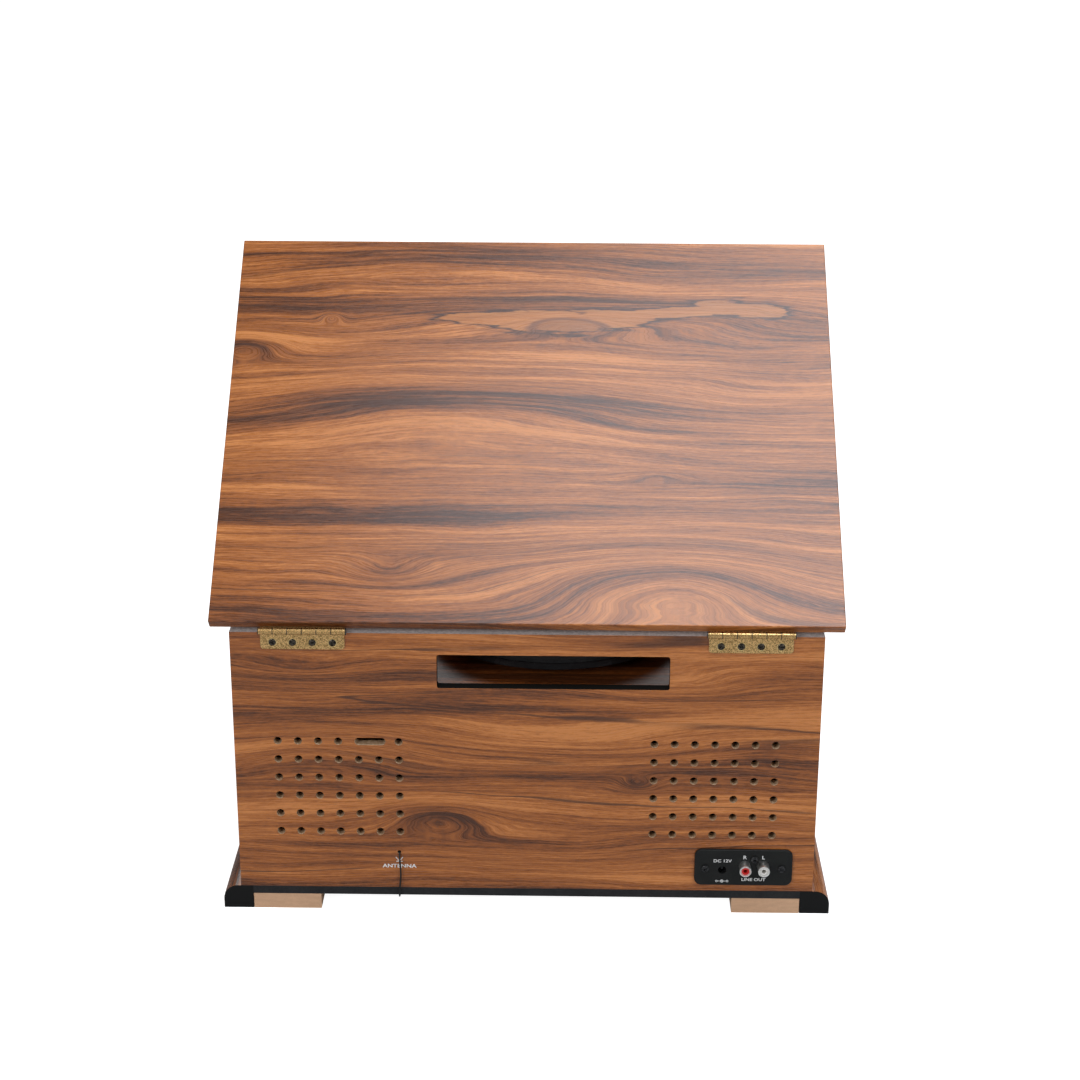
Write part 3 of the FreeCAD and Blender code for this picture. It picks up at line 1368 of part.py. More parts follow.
def antenna_coil():
    """The rest of the wire, wound in a neat coil on the resting surface."""
    end = wire_route()[-1]
    half = S.coil_band / 2
    outer = rod(S.coil_radius + half, S.coil_height, (0, 0, 0))
    inner = rod(S.coil_radius - half, S.coil_height, (0, 0, 0))
    ring = softened(cut(outer, inner), 1.2, any_edge)
    outermost = S.coil_radius + half - S.wire_radius
    return place(sub_part("antenna_coil", ring), (end.x + outermost, end.y - 6, 0))


# ------------------------------------------------------------------------- writing

def check_document():
    """Stop if any object failed, or if a sub-part has no sound shape."""
    for item in DOC.Objects:
        if {"Invalid", "Error"} & set(item.State):
            raise ValueError(f"{item.Name} ({item.Label}) failed: {item.State}")
    for item in SUB_PARTS:
        shape = item.Shape
        if shape.isNull() or not shape.isValid() or not shape.Solids:
            raise ValueError(f"{item.Label} has no sound shape")


def main():
    """Build every sub-part, check the document and write the files."""
    for build in (rear_panel, side_panels, front_baffle, base_board, mouldings,
                  foot_blocks, deck_board, deck_battens, jack_plate, phono_sockets,
                  power_socket, jack_plate_screws, lid_panel, hinge_leaves,
                  hinge_screws, lid_bumpers, stay_track, stay_bracket, stay_bar,
                  stay_roller, platter_bearing, platter_spindle, platter, slip_mat,
                  motor, motor_pulley, drive_belt, tonearm_base,
                  tonearm_yoke, tonearm_tube, counterweight, headshell, cartridge,
                  arm_rest, arm_clip, switch_plate, sliders, speakers, grilles,
                  dial, controls, electronics, antenna_wire, antenna_coil):
        build()
    DOC.recompute()
    check_document()
    os.makedirs("parts", exist_ok=True)
    for item in SUB_PARTS:
        item.Shape.exportStep(os.path.join("parts", f"{item.Label}.step"))
    print(f"{len(SUB_PARTS)} sub-parts written")


main()
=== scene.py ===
"""A record player in a wooden cabinet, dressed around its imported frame.

The frame holds every working part. This script gives the parts their finishes,
models the pieces that need finer shapes, and sets up the camera and the light.
"""

import logging
import math
from dataclasses import dataclass
from enum import Enum
from typing import Callable, Iterable, Optional, Sequence, Union

import bpy
from mathutils import Euler, Matrix, Vector


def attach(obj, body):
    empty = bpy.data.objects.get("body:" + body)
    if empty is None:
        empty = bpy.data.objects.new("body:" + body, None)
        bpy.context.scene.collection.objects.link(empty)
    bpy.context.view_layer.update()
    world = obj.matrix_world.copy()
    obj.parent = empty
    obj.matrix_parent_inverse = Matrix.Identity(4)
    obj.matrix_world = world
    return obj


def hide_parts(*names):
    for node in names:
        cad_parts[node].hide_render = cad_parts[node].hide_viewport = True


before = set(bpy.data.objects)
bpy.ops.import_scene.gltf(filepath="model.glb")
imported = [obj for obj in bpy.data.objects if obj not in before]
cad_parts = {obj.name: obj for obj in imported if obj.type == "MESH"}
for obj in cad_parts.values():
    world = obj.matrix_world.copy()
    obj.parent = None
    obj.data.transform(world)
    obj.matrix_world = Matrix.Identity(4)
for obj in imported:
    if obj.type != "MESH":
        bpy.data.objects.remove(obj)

LOG = logging.getLogger("record_player")
MM = 0.001
SMOOTH = math.radians(35.0)  # edges flatter than this are shaded smooth
SHARP = math.radians(40.0)  # edges past this are bevelled
INK = 0.00004  # the thickness of a drawn sign
PROUD = 0.00002  # how far print stands off its surface
SHINE = "Specular IOR Level"

Point = tuple[float, float, float]
Colour = tuple[float, float, float]
Feed = Union[float, Sequence[float], bpy.types.NodeSocket]

UNTURNED: Point = (0.0, 0.0, 0.0)
TO_FRONT: Point = (90.0, 0.0, 0.0)  # turns what faces up to face the front
TO_REAR: Point = (-90.0, 0.0, 0.0)  # turns what faces up to face the back
READ_REAR: Point = (90.0, 0.0, 180.0)  # as TO_REAR, with words upright


# ------------------------------------------------------------------ shader wiring

class Wiring:
    """A node tree that is being wired."""

    def __init__(self, tree: bpy.types.NodeTree) -> None:
        """Take over a tree.

        Args:
            tree: The material's or the group's node tree.
        """
        self.tree = tree

    def put(self, kind: str, feeds: Optional[dict] = None,
            **settings: object) -> bpy.types.Node:
        """Add a node, set it up and feed its inputs.

        Args:
            kind: The node's type name.
            feeds: Input names or numbers, and what each one gets.
            **settings: Properties of the node itself.

        Returns:
            The new node.
        """
        node = self.tree.nodes.new(kind)
        for name, value in settings.items():
            setattr(node, name, value)
        for name, value in (feeds or {}).items():
            self.feed(node.inputs[name], value)
        return node

    def feed(self, socket: bpy.types.NodeSocket, value: Feed) -> None:
        """Give an input a link, a number, a vector or a colour.

        Args:
            socket: The input.
            value: Another node's output, or a plain value.
        """
        if isinstance(value, bpy.types.NodeSocket):
            self.tree.links.new(value, socket)
        elif socket.type == "RGBA":
            socket.default_value = (*value[:3], 1.0)
        else:
            socket.default_value = value

    def sum(self, operation: str, first: Feed, second: Feed = 0.0,
            third: Feed = 0.0) -> bpy.types.NodeSocket:
        """Work out one number from up to three.

        Args:
            operation: The Math node's operation.
            first: The first number.
            second: The second number, where there is one.
            third: The third number, where there is one.

        Returns:
            The result.
        """
        node = self.put("ShaderNodeMath", {0: first, 1: second, 2: third},
                        operation=operation)
        return node.outputs[0]

    def vectors(self, operation: str, first: Feed, second: Feed) -> bpy.types.Node:
        """Work on two vectors, part by part or as a product."""
        return self.put("ShaderNodeVectorMath", {0: first, 1: second},
                        operation=operation)

    def scaled(self, vector: Feed, factors: Point) -> bpy.types.NodeSocket:
        """Multiply a vector's three parts, each by its own factor."""
        return self.vectors("MULTIPLY", vector, factors).outputs[0]

    def noise(self, vector: Feed, detail: float = 3.0, rough: float = 0.5
              ) -> bpy.types.NodeSocket:
        """Smooth noise over a vector, one cell to a unit.

        Args:
            vector: Where it is read.
            detail: How many finer layers are added.
            rough: How strong the finer layers are.

        Returns:
            A number about 0.5.
        """
        node = self.put("ShaderNodeTexNoise", {"Vector": vector, "Scale": 1.0,
                                               "Detail": detail, "Roughness": rough})
        return node.outputs["Fac"]

    def ramp(self, value: Feed, low: float, high: float, start: float = 0.0,
             end: float = 1.0) -> bpy.types.NodeSocket:
        """Map a number smoothly from one range to another, clamped.

        Args:
            value: The number.
            low: Where the first range starts.
            high: Where the first range ends.
            start: What the low end gives.
            end: What the high end gives.

        Returns:
            The mapped number.
        """
        node = self.put("ShaderNodeMapRange",
                        {"Value": value, "From Min": low, "From Max": high,
                         "To Min": start, "To Max": end},
                        interpolation_type="SMOOTHSTEP")
        return node.outputs["Result"]

    def blend(self, share: Feed, first: Feed, second: Feed) -> bpy.types.NodeSocket:
        """Mix two colours.

        Args:
            share: How much of the second.
            first: The first colour.
            second: The second colour.

        Returns:
            The mixed colour.
        """
        node = self.put("ShaderNodeMix", {0: share}, data_type="RGBA", clamp_factor=True)
        for number, colour in ((6, first), (7, second)):
            self.feed(node.inputs[number], colour)
        return node.outputs[2]

    def tones(self, value: Feed, stops: Sequence[tuple[float, Colour]]
              ) -> bpy.types.NodeSocket:
        """A colour ramp.

        Args:
            value: Where the ramp is read, 0 to 1.
            stops: Places along the ramp, and their colours.

        Returns:
            The colour.
        """
        node = self.put("ShaderNodeValToRGB", {"Fac": value})
        points = node.color_ramp.elements
        while len(points) < len(stops):
            points.new(0.5)
        for point, (place, colour) in zip(points, stops):
            point.position = place
            point.color = (*colour, 1.0)
        return node.outputs["Color"]

    def apart(self, vector: Feed) -> tuple[bpy.types.NodeSocket, ...]:
        """A vector's three parts."""
        return tuple(self.put("ShaderNodeSeparateXYZ", {0: vector}).outputs)

    def together(self, across: Feed, along: Feed, up: Feed = 0.0
                 ) -> bpy.types.NodeSocket:
        """A vector from three numbers."""
        return self.put("ShaderNodeCombineXYZ",
                        {0: across, 1: along, 2: up}).outputs[0]


def new_group(name: str, inputs: dict[str, str], outputs: dict[str, str]
              ) -> tuple[Wiring, bpy.types.Node, bpy.types.Node]:
    """Start a shader node group.

    Args:
        name: The group's name.
        inputs: Its inputs' names, and their kinds.
        outputs: Its outputs' names, and their kinds.

    Returns:
        The wiring, the group's input node and its output node.
    """
    tree = bpy.data.node_groups.new(name, "ShaderNodeTree")
    for sockets, way in ((inputs, "INPUT"), (outputs, "OUTPUT")):
        for socket, kind in sockets.items():
            tree.interface.new_socket(socket, in_out=way, socket_type=f"NodeSocket{kind}")
    wiring = Wiring(tree)
    return wiring, wiring.put("NodeGroupInput"), wiring.put("NodeGroupOutput")


class Effect(Enum):
    """The effects that several finishes share, each built once as a node group."""

    SWELL = "ring_swell"
    GRAIN = "wood_grain"
    SPECKLE = "speckle"

    def tree(self) -> bpy.types.NodeTree:
        """The group's tree, built the first time it is asked for."""
        builders = {Effect.SWELL: build_swell, Effect.GRAIN: build_grain,
                    Effect.SPECKLE: build_speckle}
        return bpy.data.node_groups.get(self.value) or builders[self](self.value)

    def use(self, wiring: Wiring, feeds: dict[str, Feed]) -> bpy.types.Node:
        """Place the group in a material.

        Args:
            wiring: The material's wiring.
            feeds: The group's inputs and what each one gets.

        Returns:
            The group node.
        """
        return wiring.put("ShaderNodeGroup", node_tree=self.tree(), feeds=feeds)


def build_swell(name: str) -> bpy.types.NodeTree:
    """One swell of the growth rings about a point, which bends the grain round it.

    Args:
        name: The group's name.

    Returns:
        The group's tree.
    """
    wiring, given, result = new_group(
        name, {"Vector": "Vector", "Centre": "Vector", "Reach": "Vector", "Lift": "Float"},
        {"Value": "Float"})
    place, centre, reach, lift = given.outputs[:4]
    away = wiring.vectors("SUBTRACT", place, centre).outputs[0]
    share = wiring.vectors("DIVIDE", away, reach).outputs[0]
    square = wiring.vectors("DOT_PRODUCT", share, share).outputs["Value"]
    fall = wiring.sum("EXPONENT", wiring.sum("MULTIPLY", square, -1.0))
    wiring.feed(result.inputs[0], wiring.sum("MULTIPLY", fall, lift))
    return wiring.tree


def build_grain(name: str) -> bpy.types.NodeTree:
    """Rosewood-like grain: broad bands, dark veins, streaks, fibres and pores.

    Along runs with the grain and Rings across the growth rings, in metres, and
    Seed picks another part of the same wood.

    Args:
        name: The group's name.

    Returns:
        The group's tree.
    """
    wiring, given, result = new_group(
        name, {"Along": "Float", "Across": "Float", "Rings": "Float", "Seed": "Float",
               "Tone": "Float", "Veins": "Float"},
        {"Color": "Color", "Roughness": "Float", "Height": "Float"})
    along, across, rings, seed, shade, veins = given.outputs[:6]

    def layer(length: float, width: float, detail: float, rough: float = 0.5,
              ring: Optional[bpy.types.NodeSocket] = None) -> bpy.types.NodeSocket:
        """Noise drawn out along the grain.

        Args:
            length: Its cells' length in metres.
            width: Their width in metres.
            detail: How many finer layers are added.
            rough: How strong the finer layers are.
            ring: What runs across the cells, if not the bent growth rings.

        Returns:
            A number about 0.5.
        """
        place = wiring.together(
            wiring.sum("MULTIPLY", along, 1.0 / length),
            wiring.sum("MULTIPLY", bent if ring is None else ring, 1.0 / width), seed)
        return wiring.noise(place, detail, rough)

    bent = rings
    sway = layer(0.240, 0.060, 2.0, ring=across)
    ripple = layer(0.035, 0.006, 2.0, ring=across)
    bent = wiring.sum("MULTIPLY_ADD", wiring.sum("SUBTRACT", sway, 0.5), 0.026, rings)
    bent = wiring.sum("MULTIPLY_ADD", wiring.sum("SUBTRACT", ripple, 0.5), 0.0016, bent)
    band = layer(0.60, 0.024, 3.0)
    streak = layer(0.20, 0.0046, 4.0, 0.65)
    line = layer(0.10, 0.0012, 3.0, 0.65)
    fibre = layer(0.018, 0.0005, 3.0, 0.65)
    fleck = layer(0.0050, 0.0014, 3.0, 0.65)
    tone = wiring.sum("MULTIPLY", band, 0.34)
    for value, share in ((streak, 0.26), (line, 0.18), (fibre, 0.13), (fleck, 0.09)):
        tone = wiring.sum("MULTIPLY_ADD", value, share, tone)
    tone = wiring.put("ShaderNodeMapRange", {"Value": tone, "From Min": 0.410,
                                             "From Max": 0.582}).outputs["Result"]
    tone = wiring.sum("ADD", tone, shade)
    colour = wiring.tones(tone, (
        (0.00, (0.064, 0.020, 0.007)), (0.22, (0.150, 0.044, 0.011)),
        (0.45, (0.268, 0.080, 0.017)), (0.70, (0.385, 0.124, 0.027)),
        (1.00, (0.560, 0.205, 0.056))))
    ridge = wiring.sum("ABSOLUTE", wiring.sum(
        "SUBTRACT", layer(0.75, 0.040, 2.0, 0.35), 0.5))
    thick = wiring.ramp(layer(0.10, 0.012, 3.0), 0.35, 0.72, 0.004, 0.026)
    vein = wiring.ramp(wiring.sum("DIVIDE", ridge, thick), 0.2, 1.0, 1.0, 0.0)
    broken = wiring.ramp(layer(0.16, 0.030, 2.0), 0.42, 0.60)
    vein = wiring.sum("MULTIPLY", wiring.sum("MULTIPLY", vein, broken), veins)
    colour = wiring.blend(vein, colour, (0.055, 0.020, 0.010))
    pore = wiring.ramp(layer(0.006, 0.00024, 1.0), 0.60, 0.76)
    colour = wiring.blend(wiring.sum("MULTIPLY", pore, 0.30), colour, (0.09, 0.035, 0.017))
    wiring.feed(result.inputs["Color"], colour)
    wiring.feed(result.inputs["Roughness"], wiring.ramp(fibre, 0.3, 0.7, 0.25, 0.32))
    wiring.feed(result.inputs["Height"],
                wiring.sum("MULTIPLY_ADD", pore, -0.6, wiring.sum("MULTIPLY", fibre, 0.4)))
    return wiring.tree


def build_speckle(name: str) -> bpy.types.NodeTree:
    """Fine and coarse noise together, as a share from 0 to 1.

    Args:
        name: The group's name.

    Returns:
        The group's tree.
    """
    wiring, given, result = new_group(
        name, {"Vector": "Vector", "Fine": "Float", "Coarse": "Float"},
        {"Value": "Float", "Fine": "Float", "Coarse": "Float"})
    values = []
    for number in (1, 2):
        scaled = wiring.put("ShaderNodeVectorMath",
                            {0: given.outputs[0], "Scale": given.outputs[number]},
                            operation="SCALE").outputs[0]
        values.append(wiring.noise(scaled, 3.0, 0.6))
    mean = wiring.sum("MULTIPLY", wiring.sum("ADD", *values), 0.5)
    wiring.feed(result.inputs["Value"], wiring.ramp(mean, 0.35, 0.65))
    wiring.feed(result.inputs["Fine"], wiring.ramp(values[0], 0.3, 0.7))
    wiring.feed(result.inputs["Coarse"], wiring.ramp(values[1], 0.3, 0.7))
    return wiring.tree


# ---------------------------------------------------------------------- finishes

@dataclass(frozen=True)
class Finish:
    """What a surface is made of.

    Attributes:
        name: The material's name.
    """

    name: str

    def material(self) -> bpy.types.Material:
        """The material, made the first time it is asked for."""
        label = f"{self.name}_finish"
        found = bpy.data.materials.get(label)
        if found:
            return found
        material = bpy.data.materials.new(label)
        material.use_nodes = True
        material.node_tree.nodes.clear()
        wiring = Wiring(material.node_tree)
        shader = wiring.put("ShaderNodeBsdfPrincipled")
        wiring.put("ShaderNodeOutputMaterial", {"Surface": shader.outputs[0]})
        self.paint(wiring, shader)
        return material

    def paint(self, wiring: Wiring, shader: bpy.types.Node) -> None:
        """Wire the surface into its shader.

        Args:
            wiring: The material's wiring.
            shader: Its Principled shader.
        """
        raise NotImplementedError

    @staticmethod
    def place(wiring: Wiring) -> bpy.types.NodeSocket:
        """Where a point is, in the object's own metres."""
        return wiring.put("ShaderNodeTexCoord").outputs["Object"]

    @staticmethod
    def facing(wiring: Wiring) -> tuple[bpy.types.NodeSocket, ...]:
        """Which way the surface faces, as three parts."""
        return wiring.apart(wiring.put("ShaderNodeTexCoord").outputs["Normal"])

    @staticmethod
    def dent(wiring: Wiring, shader: bpy.types.Node, height: Feed, depth: float,
             strength: float = 0.5) -> None:
        """Turn a height into small relief.

        Args:
            wiring: The material's wiring.
            shader: Its shader.
            height: The height, from 0 to 1.
            depth: The relief's depth in metres.
            strength: How strongly it shows.
        """
        bump = wiring.put("ShaderNodeBump", {"Height": height, "Distance": depth,
                                             "Strength": strength})
        wiring.feed(shader.inputs["Normal"], bump.outputs[0])


@dataclass(frozen=True)
class Swell:
    """A soft hill over a board, in the board's own millimetres.

    Attributes:
        along: Its middle along the board.
        across: Its middle across the board.
        long: How far it reaches along.
        wide: How far it reaches across.
        lift: Its height: millimetres of growth rings, or a change of tone.
    """

    along: float
    across: float
    long: float
    wide: float
    lift: float

    def wire(self, wiring: Wiring, place: Feed, unit: float) -> bpy.types.NodeSocket:
        """The hill's height over a place.

        Args:
            wiring: The material's wiring.
            place: The place on the board, in metres.
            unit: What one of lift's units is worth.

        Returns:
            The height.
        """
        node = Effect.SWELL.use(wiring, {
            "Vector": place, "Centre": (self.along * MM, self.across * MM, 0.0),
            "Reach": (self.long * MM, self.wide * MM, 1.0e6), "Lift": self.lift * unit})
        return node.outputs[0]


def hills(wiring: Wiring, place: Feed, swells: Iterable[Swell], unit: float = 1.0,
          start: Feed = 0.0) -> Feed:
    """Several hills added to a start value.

    Args:
        wiring: The material's wiring.
        place: The place on the board, in metres.
        swells: The hills.
        unit: What one unit of their lift is worth.
        start: What they are added to.

    Returns:
        The sum.
    """
    total = start
    for swell in swells:
        total = wiring.sum("ADD", total, swell.wire(wiring, place, unit))
    return total


def ground(*rows: tuple[float, ...]) -> tuple[Swell, ...]:
    """Hills from rows of numbers: along, across, long, wide and lift."""
    return tuple(Swell(*row) for row in rows)


@dataclass(frozen=True)
class Openings:
    """Where the back's sawn edges lie, in metres.

    Attributes:
        half: Half of the width that its holes lie in.
        slot_low: The height above which only the record slot is cut.
        slot_middle: The slot's middle across.
        slot_half: Half of the slot's width.
        top: The height above which only the upper edge faces up.
    """

    half: float = 0.2165
    slot_low: float = 0.18
    slot_middle: float = -0.0196
    slot_half: float = 0.0875
    top: float = 0.2275


class Edge(Enum):
    """How a board is finished where the foil ends."""

    FOIL = "foil all over"
    VENTED = "sawn holes, a black slot and a pale upper edge"
    CAPPED = "black painted ends"


@dataclass(frozen=True)
class Foil(Finish):
    """Wood-grain foil on fibreboard.

    Attributes:
        origin: A point of the board, where its own coordinates start.
        turn: How the board's own axes are turned, in degrees.
        seed: Which part of the wood it is.
        swells: Where the growth rings bend.
        shades: Where it is darker or paler.
        lake: Pale sapwood with a dark ragged edge.
        isles: Brown wood inside the sapwood.
        veins: How strong the dark veins are.
        edge: How its edges are finished.
        shine: How strongly it reflects.
        openings: Where its sawn edges lie, if it is vented.
    """

    origin: Point = (0.0, 0.0, 0.0)
    turn: Point = UNTURNED
    seed: float = 0.0
    swells: tuple[Swell, ...] = ()
    shades: tuple[Swell, ...] = ()
    lake: tuple[Swell, ...] = ()
    isles: tuple[Swell, ...] = ()
    veins: float = 0.8
    edge: Edge = Edge.FOIL
    shine: float = 0.5
    openings: Openings = Openings()

    def paint(self, wiring: Wiring, shader: bpy.types.Node) -> None:
        """Grain over the board, then what its edges show.

        Args:
            wiring: The material's wiring.
            shader: Its Principled shader.
        """
        place = self.place(wiring)
        board = wiring.put("ShaderNodeMapping", {
            "Vector": place, "Location": self.origin,
            "Rotation": tuple(math.radians(angle) for angle in self.turn)},
            vector_type="TEXTURE").outputs[0]
        along, across, through = wiring.apart(board)
        flat = wiring.together(along, across)
        rings = wiring.sum("MULTIPLY_ADD", through, 0.8,
                           hills(wiring, flat, self.swells, MM, across))
        grain = Effect.GRAIN.use(wiring, {
            "Along": along, "Across": across, "Seed": self.seed, "Veins": self.veins,
            "Rings": rings, "Tone": hills(wiring, flat, self.shades)})
        colour = grain.outputs["Color"]
        if self.lake:
            colour = self.flood(wiring, flat, along, across, colour)
        rough, height = grain.outputs["Roughness"], grain.outputs["Height"]
        shader.inputs[SHINE].default_value = self.shine
        if self.edge is Edge.VENTED:
            colour, rough, shine = self.vented(wiring, place, colour, rough)
            wiring.feed(shader.inputs[SHINE], shine)
        elif self.edge is Edge.CAPPED:
            _, toward, _ = self.facing(wiring)
            cap = wiring.ramp(toward, 0.80, 0.90)
            colour = wiring.blend(cap, colour, (0.007, 0.007, 0.007))
            rough = wiring.sum("MAXIMUM", rough, wiring.sum("MULTIPLY", cap, 0.55))
            wiring.feed(shader.inputs[SHINE],
                        wiring.sum("MULTIPLY_ADD", cap, -0.35, 0.5))
        wiring.feed(shader.inputs["Base Color"], colour)
        wiring.feed(shader.inputs["Roughness"], rough)
        self.dent(wiring, shader, height, 0.00006, 0.35)

    def flood(self, wiring: Wiring, flat: Feed, along: Feed, across: Feed,
              colour: Feed) -> bpy.types.NodeSocket:
        """Lay the pale sapwood and its dark edge over the grain.

        Args:
            wiring: The material's wiring.
            flat: The place on the board, in metres.
            along: The place along the board.
            across: The place across it.
            colour: The grain's colour.

        Returns:
            The colour with the sapwood.
        """
        depth = hills(wiring, flat, self.lake)
        ragged, fine = (
            wiring.noise(wiring.together(wiring.sum("MULTIPLY", along, lengthwise),
                                         wiring.sum("MULTIPLY", across, crosswise)),
                         3.0, 0.6)
            for lengthwise, crosswise in ((34.0, 300.0), (16.0, 480.0)))
        depth = wiring.sum("MULTIPLY_ADD", wiring.sum("SUBTRACT", ragged, 0.5), 0.95, depth)
        grained = colour
        rim = wiring.sum("MULTIPLY", wiring.ramp(depth, 0.20, 0.46),
                         wiring.ramp(ragged, 0.30, 0.62, 0.45, 0.85))
        inside = wiring.ramp(depth, 0.47, 0.52)
        isle = wiring.sum("MULTIPLY_ADD", wiring.sum("SUBTRACT", ragged, 0.5), 0.25,
                          hills(wiring, flat, self.isles))
        ring = wiring.sum("MULTIPLY", wiring.ramp(isle, 0.34, 0.48),
                          wiring.ramp(isle, 0.52, 0.66, 1.0, 0.45))
        colour = wiring.blend(rim, colour, (0.095, 0.034, 0.018))
        pale = wiring.tones(fine, ((0.25, (0.320, 0.103, 0.026)),
                                   (0.50, (0.430, 0.158, 0.044)),
                                   (0.75, (0.540, 0.222, 0.070))))
        pale = wiring.blend(0.28, pale, grained)
        pale = wiring.blend(ring, pale, (0.190, 0.066, 0.026))
        line = wiring.sum("MULTIPLY", wiring.ramp(depth, 0.34, 0.46),
                          wiring.ramp(depth, 0.48, 0.60, 0.90, 0.0))
        return wiring.blend(line, wiring.blend(inside, colour, pale),
                            (0.050, 0.018, 0.010))

    def vented(self, wiring: Wiring, place: Feed, colour: Feed, rough: Feed
               ) -> tuple[bpy.types.NodeSocket, ...]:
        """Show sawn board in the holes, black in the record slot, and a pale grey top that is
        partly painted reflection.

        Args:
            wiring: The material's wiring.
            place: The place in the object's own metres.
            colour: The foil's colour.
            rough: The foil's roughness.

        Returns:
            The colour, the roughness and how strongly it reflects.
        """
        edges = self.openings
        across, _, up = wiring.apart(place)
        _, toward, above = self.facing(wiring)
        cut = wiring.ramp(wiring.sum("ABSOLUTE", toward), 0.55, 0.75, 1.0, 0.0)
        speckle = Effect.SPECKLE.use(wiring, {"Vector": place, "Fine": 2600.0,
                                              "Coarse": 500.0})
        sawn = wiring.blend(speckle.outputs["Value"], (0.33, 0.20, 0.11),
                            (0.58, 0.42, 0.28))
        inner = wiring.sum("LESS_THAN", wiring.sum("ABSOLUTE", across), edges.half)
        colour = wiring.blend(wiring.sum("MULTIPLY", cut, inner), colour, sawn)
        high = wiring.sum("GREATER_THAN", up, edges.slot_low)
        middle = wiring.sum("LESS_THAN", wiring.sum(
            "ABSOLUTE", wiring.sum("ADD", across, -edges.slot_middle)), edges.slot_half)
        slot = wiring.sum("MULTIPLY", wiring.sum("MULTIPLY", high, middle), cut)
        colour = wiring.blend(slot, colour, (0.005, 0.004, 0.003))
        # Upper edge: pale grey, partly its own grey and partly painted reflection of the
        # light from above.
        top = wiring.sum("MULTIPLY", wiring.ramp(above, 0.8, 0.95),
                         wiring.sum("GREATER_THAN", up, edges.top))
        grey_edge_and_sheen = wiring.blend(speckle.outputs["Coarse"], (0.36, 0.32, 0.31),
                             (0.56, 0.50, 0.49))
        rough = wiring.sum("MAXIMUM", rough, wiring.sum("MULTIPLY", cut, 0.92))
        shine = wiring.sum("MULTIPLY_ADD", cut, -0.45, 0.5)
        return wiring.blend(top, colour, grey_edge_and_sheen), rough, shine


@dataclass(frozen=True)
class Fibreboard(Finish):
    """Sawn fibreboard, with its fibres and a darker crust.

    Attributes:
        light: Its colour where it is palest.
        dark: Its colour where it is darkest.
    """

    light: Colour = (0.640, 0.395, 0.245)
    dark: Colour = (0.500, 0.300, 0.178)

    def paint(self, wiring: Wiring, shader: bpy.types.Node) -> None:
        """Short fibres and saw marks over a speckle.

        Args:
            wiring: The material's wiring.
            shader: Its Principled shader.
        """
        place = self.place(wiring)
        speckle = Effect.SPECKLE.use(wiring, {"Vector": wiring.scaled(place, (1.0, 1.0, 3.0)),
                                              "Fine": 1500.0, "Coarse": 160.0})
        saw = wiring.noise(wiring.scaled(place, (18.0, 18.0, 900.0)), 2.0)
        tone = wiring.sum("MULTIPLY_ADD", saw, 0.4, wiring.sum(
            "MULTIPLY", speckle.outputs["Value"], 0.6))
        wiring.feed(shader.inputs["Base Color"], wiring.blend(tone, self.dark, self.light))
        wiring.feed(shader.inputs["Roughness"],
                    wiring.ramp(speckle.outputs["Coarse"], 0.0, 1.0, 0.75, 0.9))
        self.dent(wiring, shader, tone, 0.0002, 0.5)


@dataclass(frozen=True)
class Coat(Finish):
    """A painted, moulded or rubbery surface with fine relief.

    Attributes:
        light: Its colour.
        dark: Its colour in the speckle's hollows.
        rough: Its lowest and highest roughness.
        cell: The relief's cell size in metres.
        depth: The relief's depth in metres.
        shine: How strongly it reflects.
    """

    light: Colour = (0.010, 0.011, 0.010)
    dark: Colour = (0.006, 0.006, 0.006)
    rough: tuple[float, float] = (0.35, 0.50)
    cell: float = 0.0008
    depth: float = 0.00003
    shine: float = 0.22

    def paint(self, wiring: Wiring, shader: bpy.types.Node) -> None:
        """Speckle for the colour and the relief, smears for the gloss.

        Args:
            wiring: The material's wiring.
            shader: Its Principled shader.
        """
        place = self.place(wiring)
        speckle = Effect.SPECKLE.use(wiring, {"Vector": place, "Fine": 1.0 / self.cell,
                                              "Coarse": 60.0})
        wiring.feed(shader.inputs["Base Color"],
                    wiring.blend(speckle.outputs["Value"], self.dark, self.light))
        wiring.feed(shader.inputs["Roughness"],
                    wiring.ramp(speckle.outputs["Coarse"], 0.0, 1.0, *self.rough))
        shader.inputs[SHINE].default_value = self.shine
        self.dent(wiring, shader, speckle.outputs["Fine"], self.depth, 0.5)


@dataclass(frozen=True)
class Lit(Coat):
    """A coat that looks evenly lit, as a white floor lit from all round does.

    Attributes:
        glow: How much it is lifted where it is seen directly.
    """

    glow: float = 0.95

    def paint(self, wiring: Wiring, shader: bpy.types.Node) -> None:
        """The coat, and its glow.

        Args:
            wiring: The material's wiring.
            shader: Its Principled shader.
        """
        super().paint(wiring, shader)
        wiring.feed(shader.inputs["Emission Color"], (1.0, 1.0, 1.0))
        seen = wiring.put("ShaderNodeLightPath").outputs["Is Camera Ray"]
        wiring.feed(shader.inputs["Emission Strength"],
                    wiring.sum("MULTIPLY", seen, self.glow))


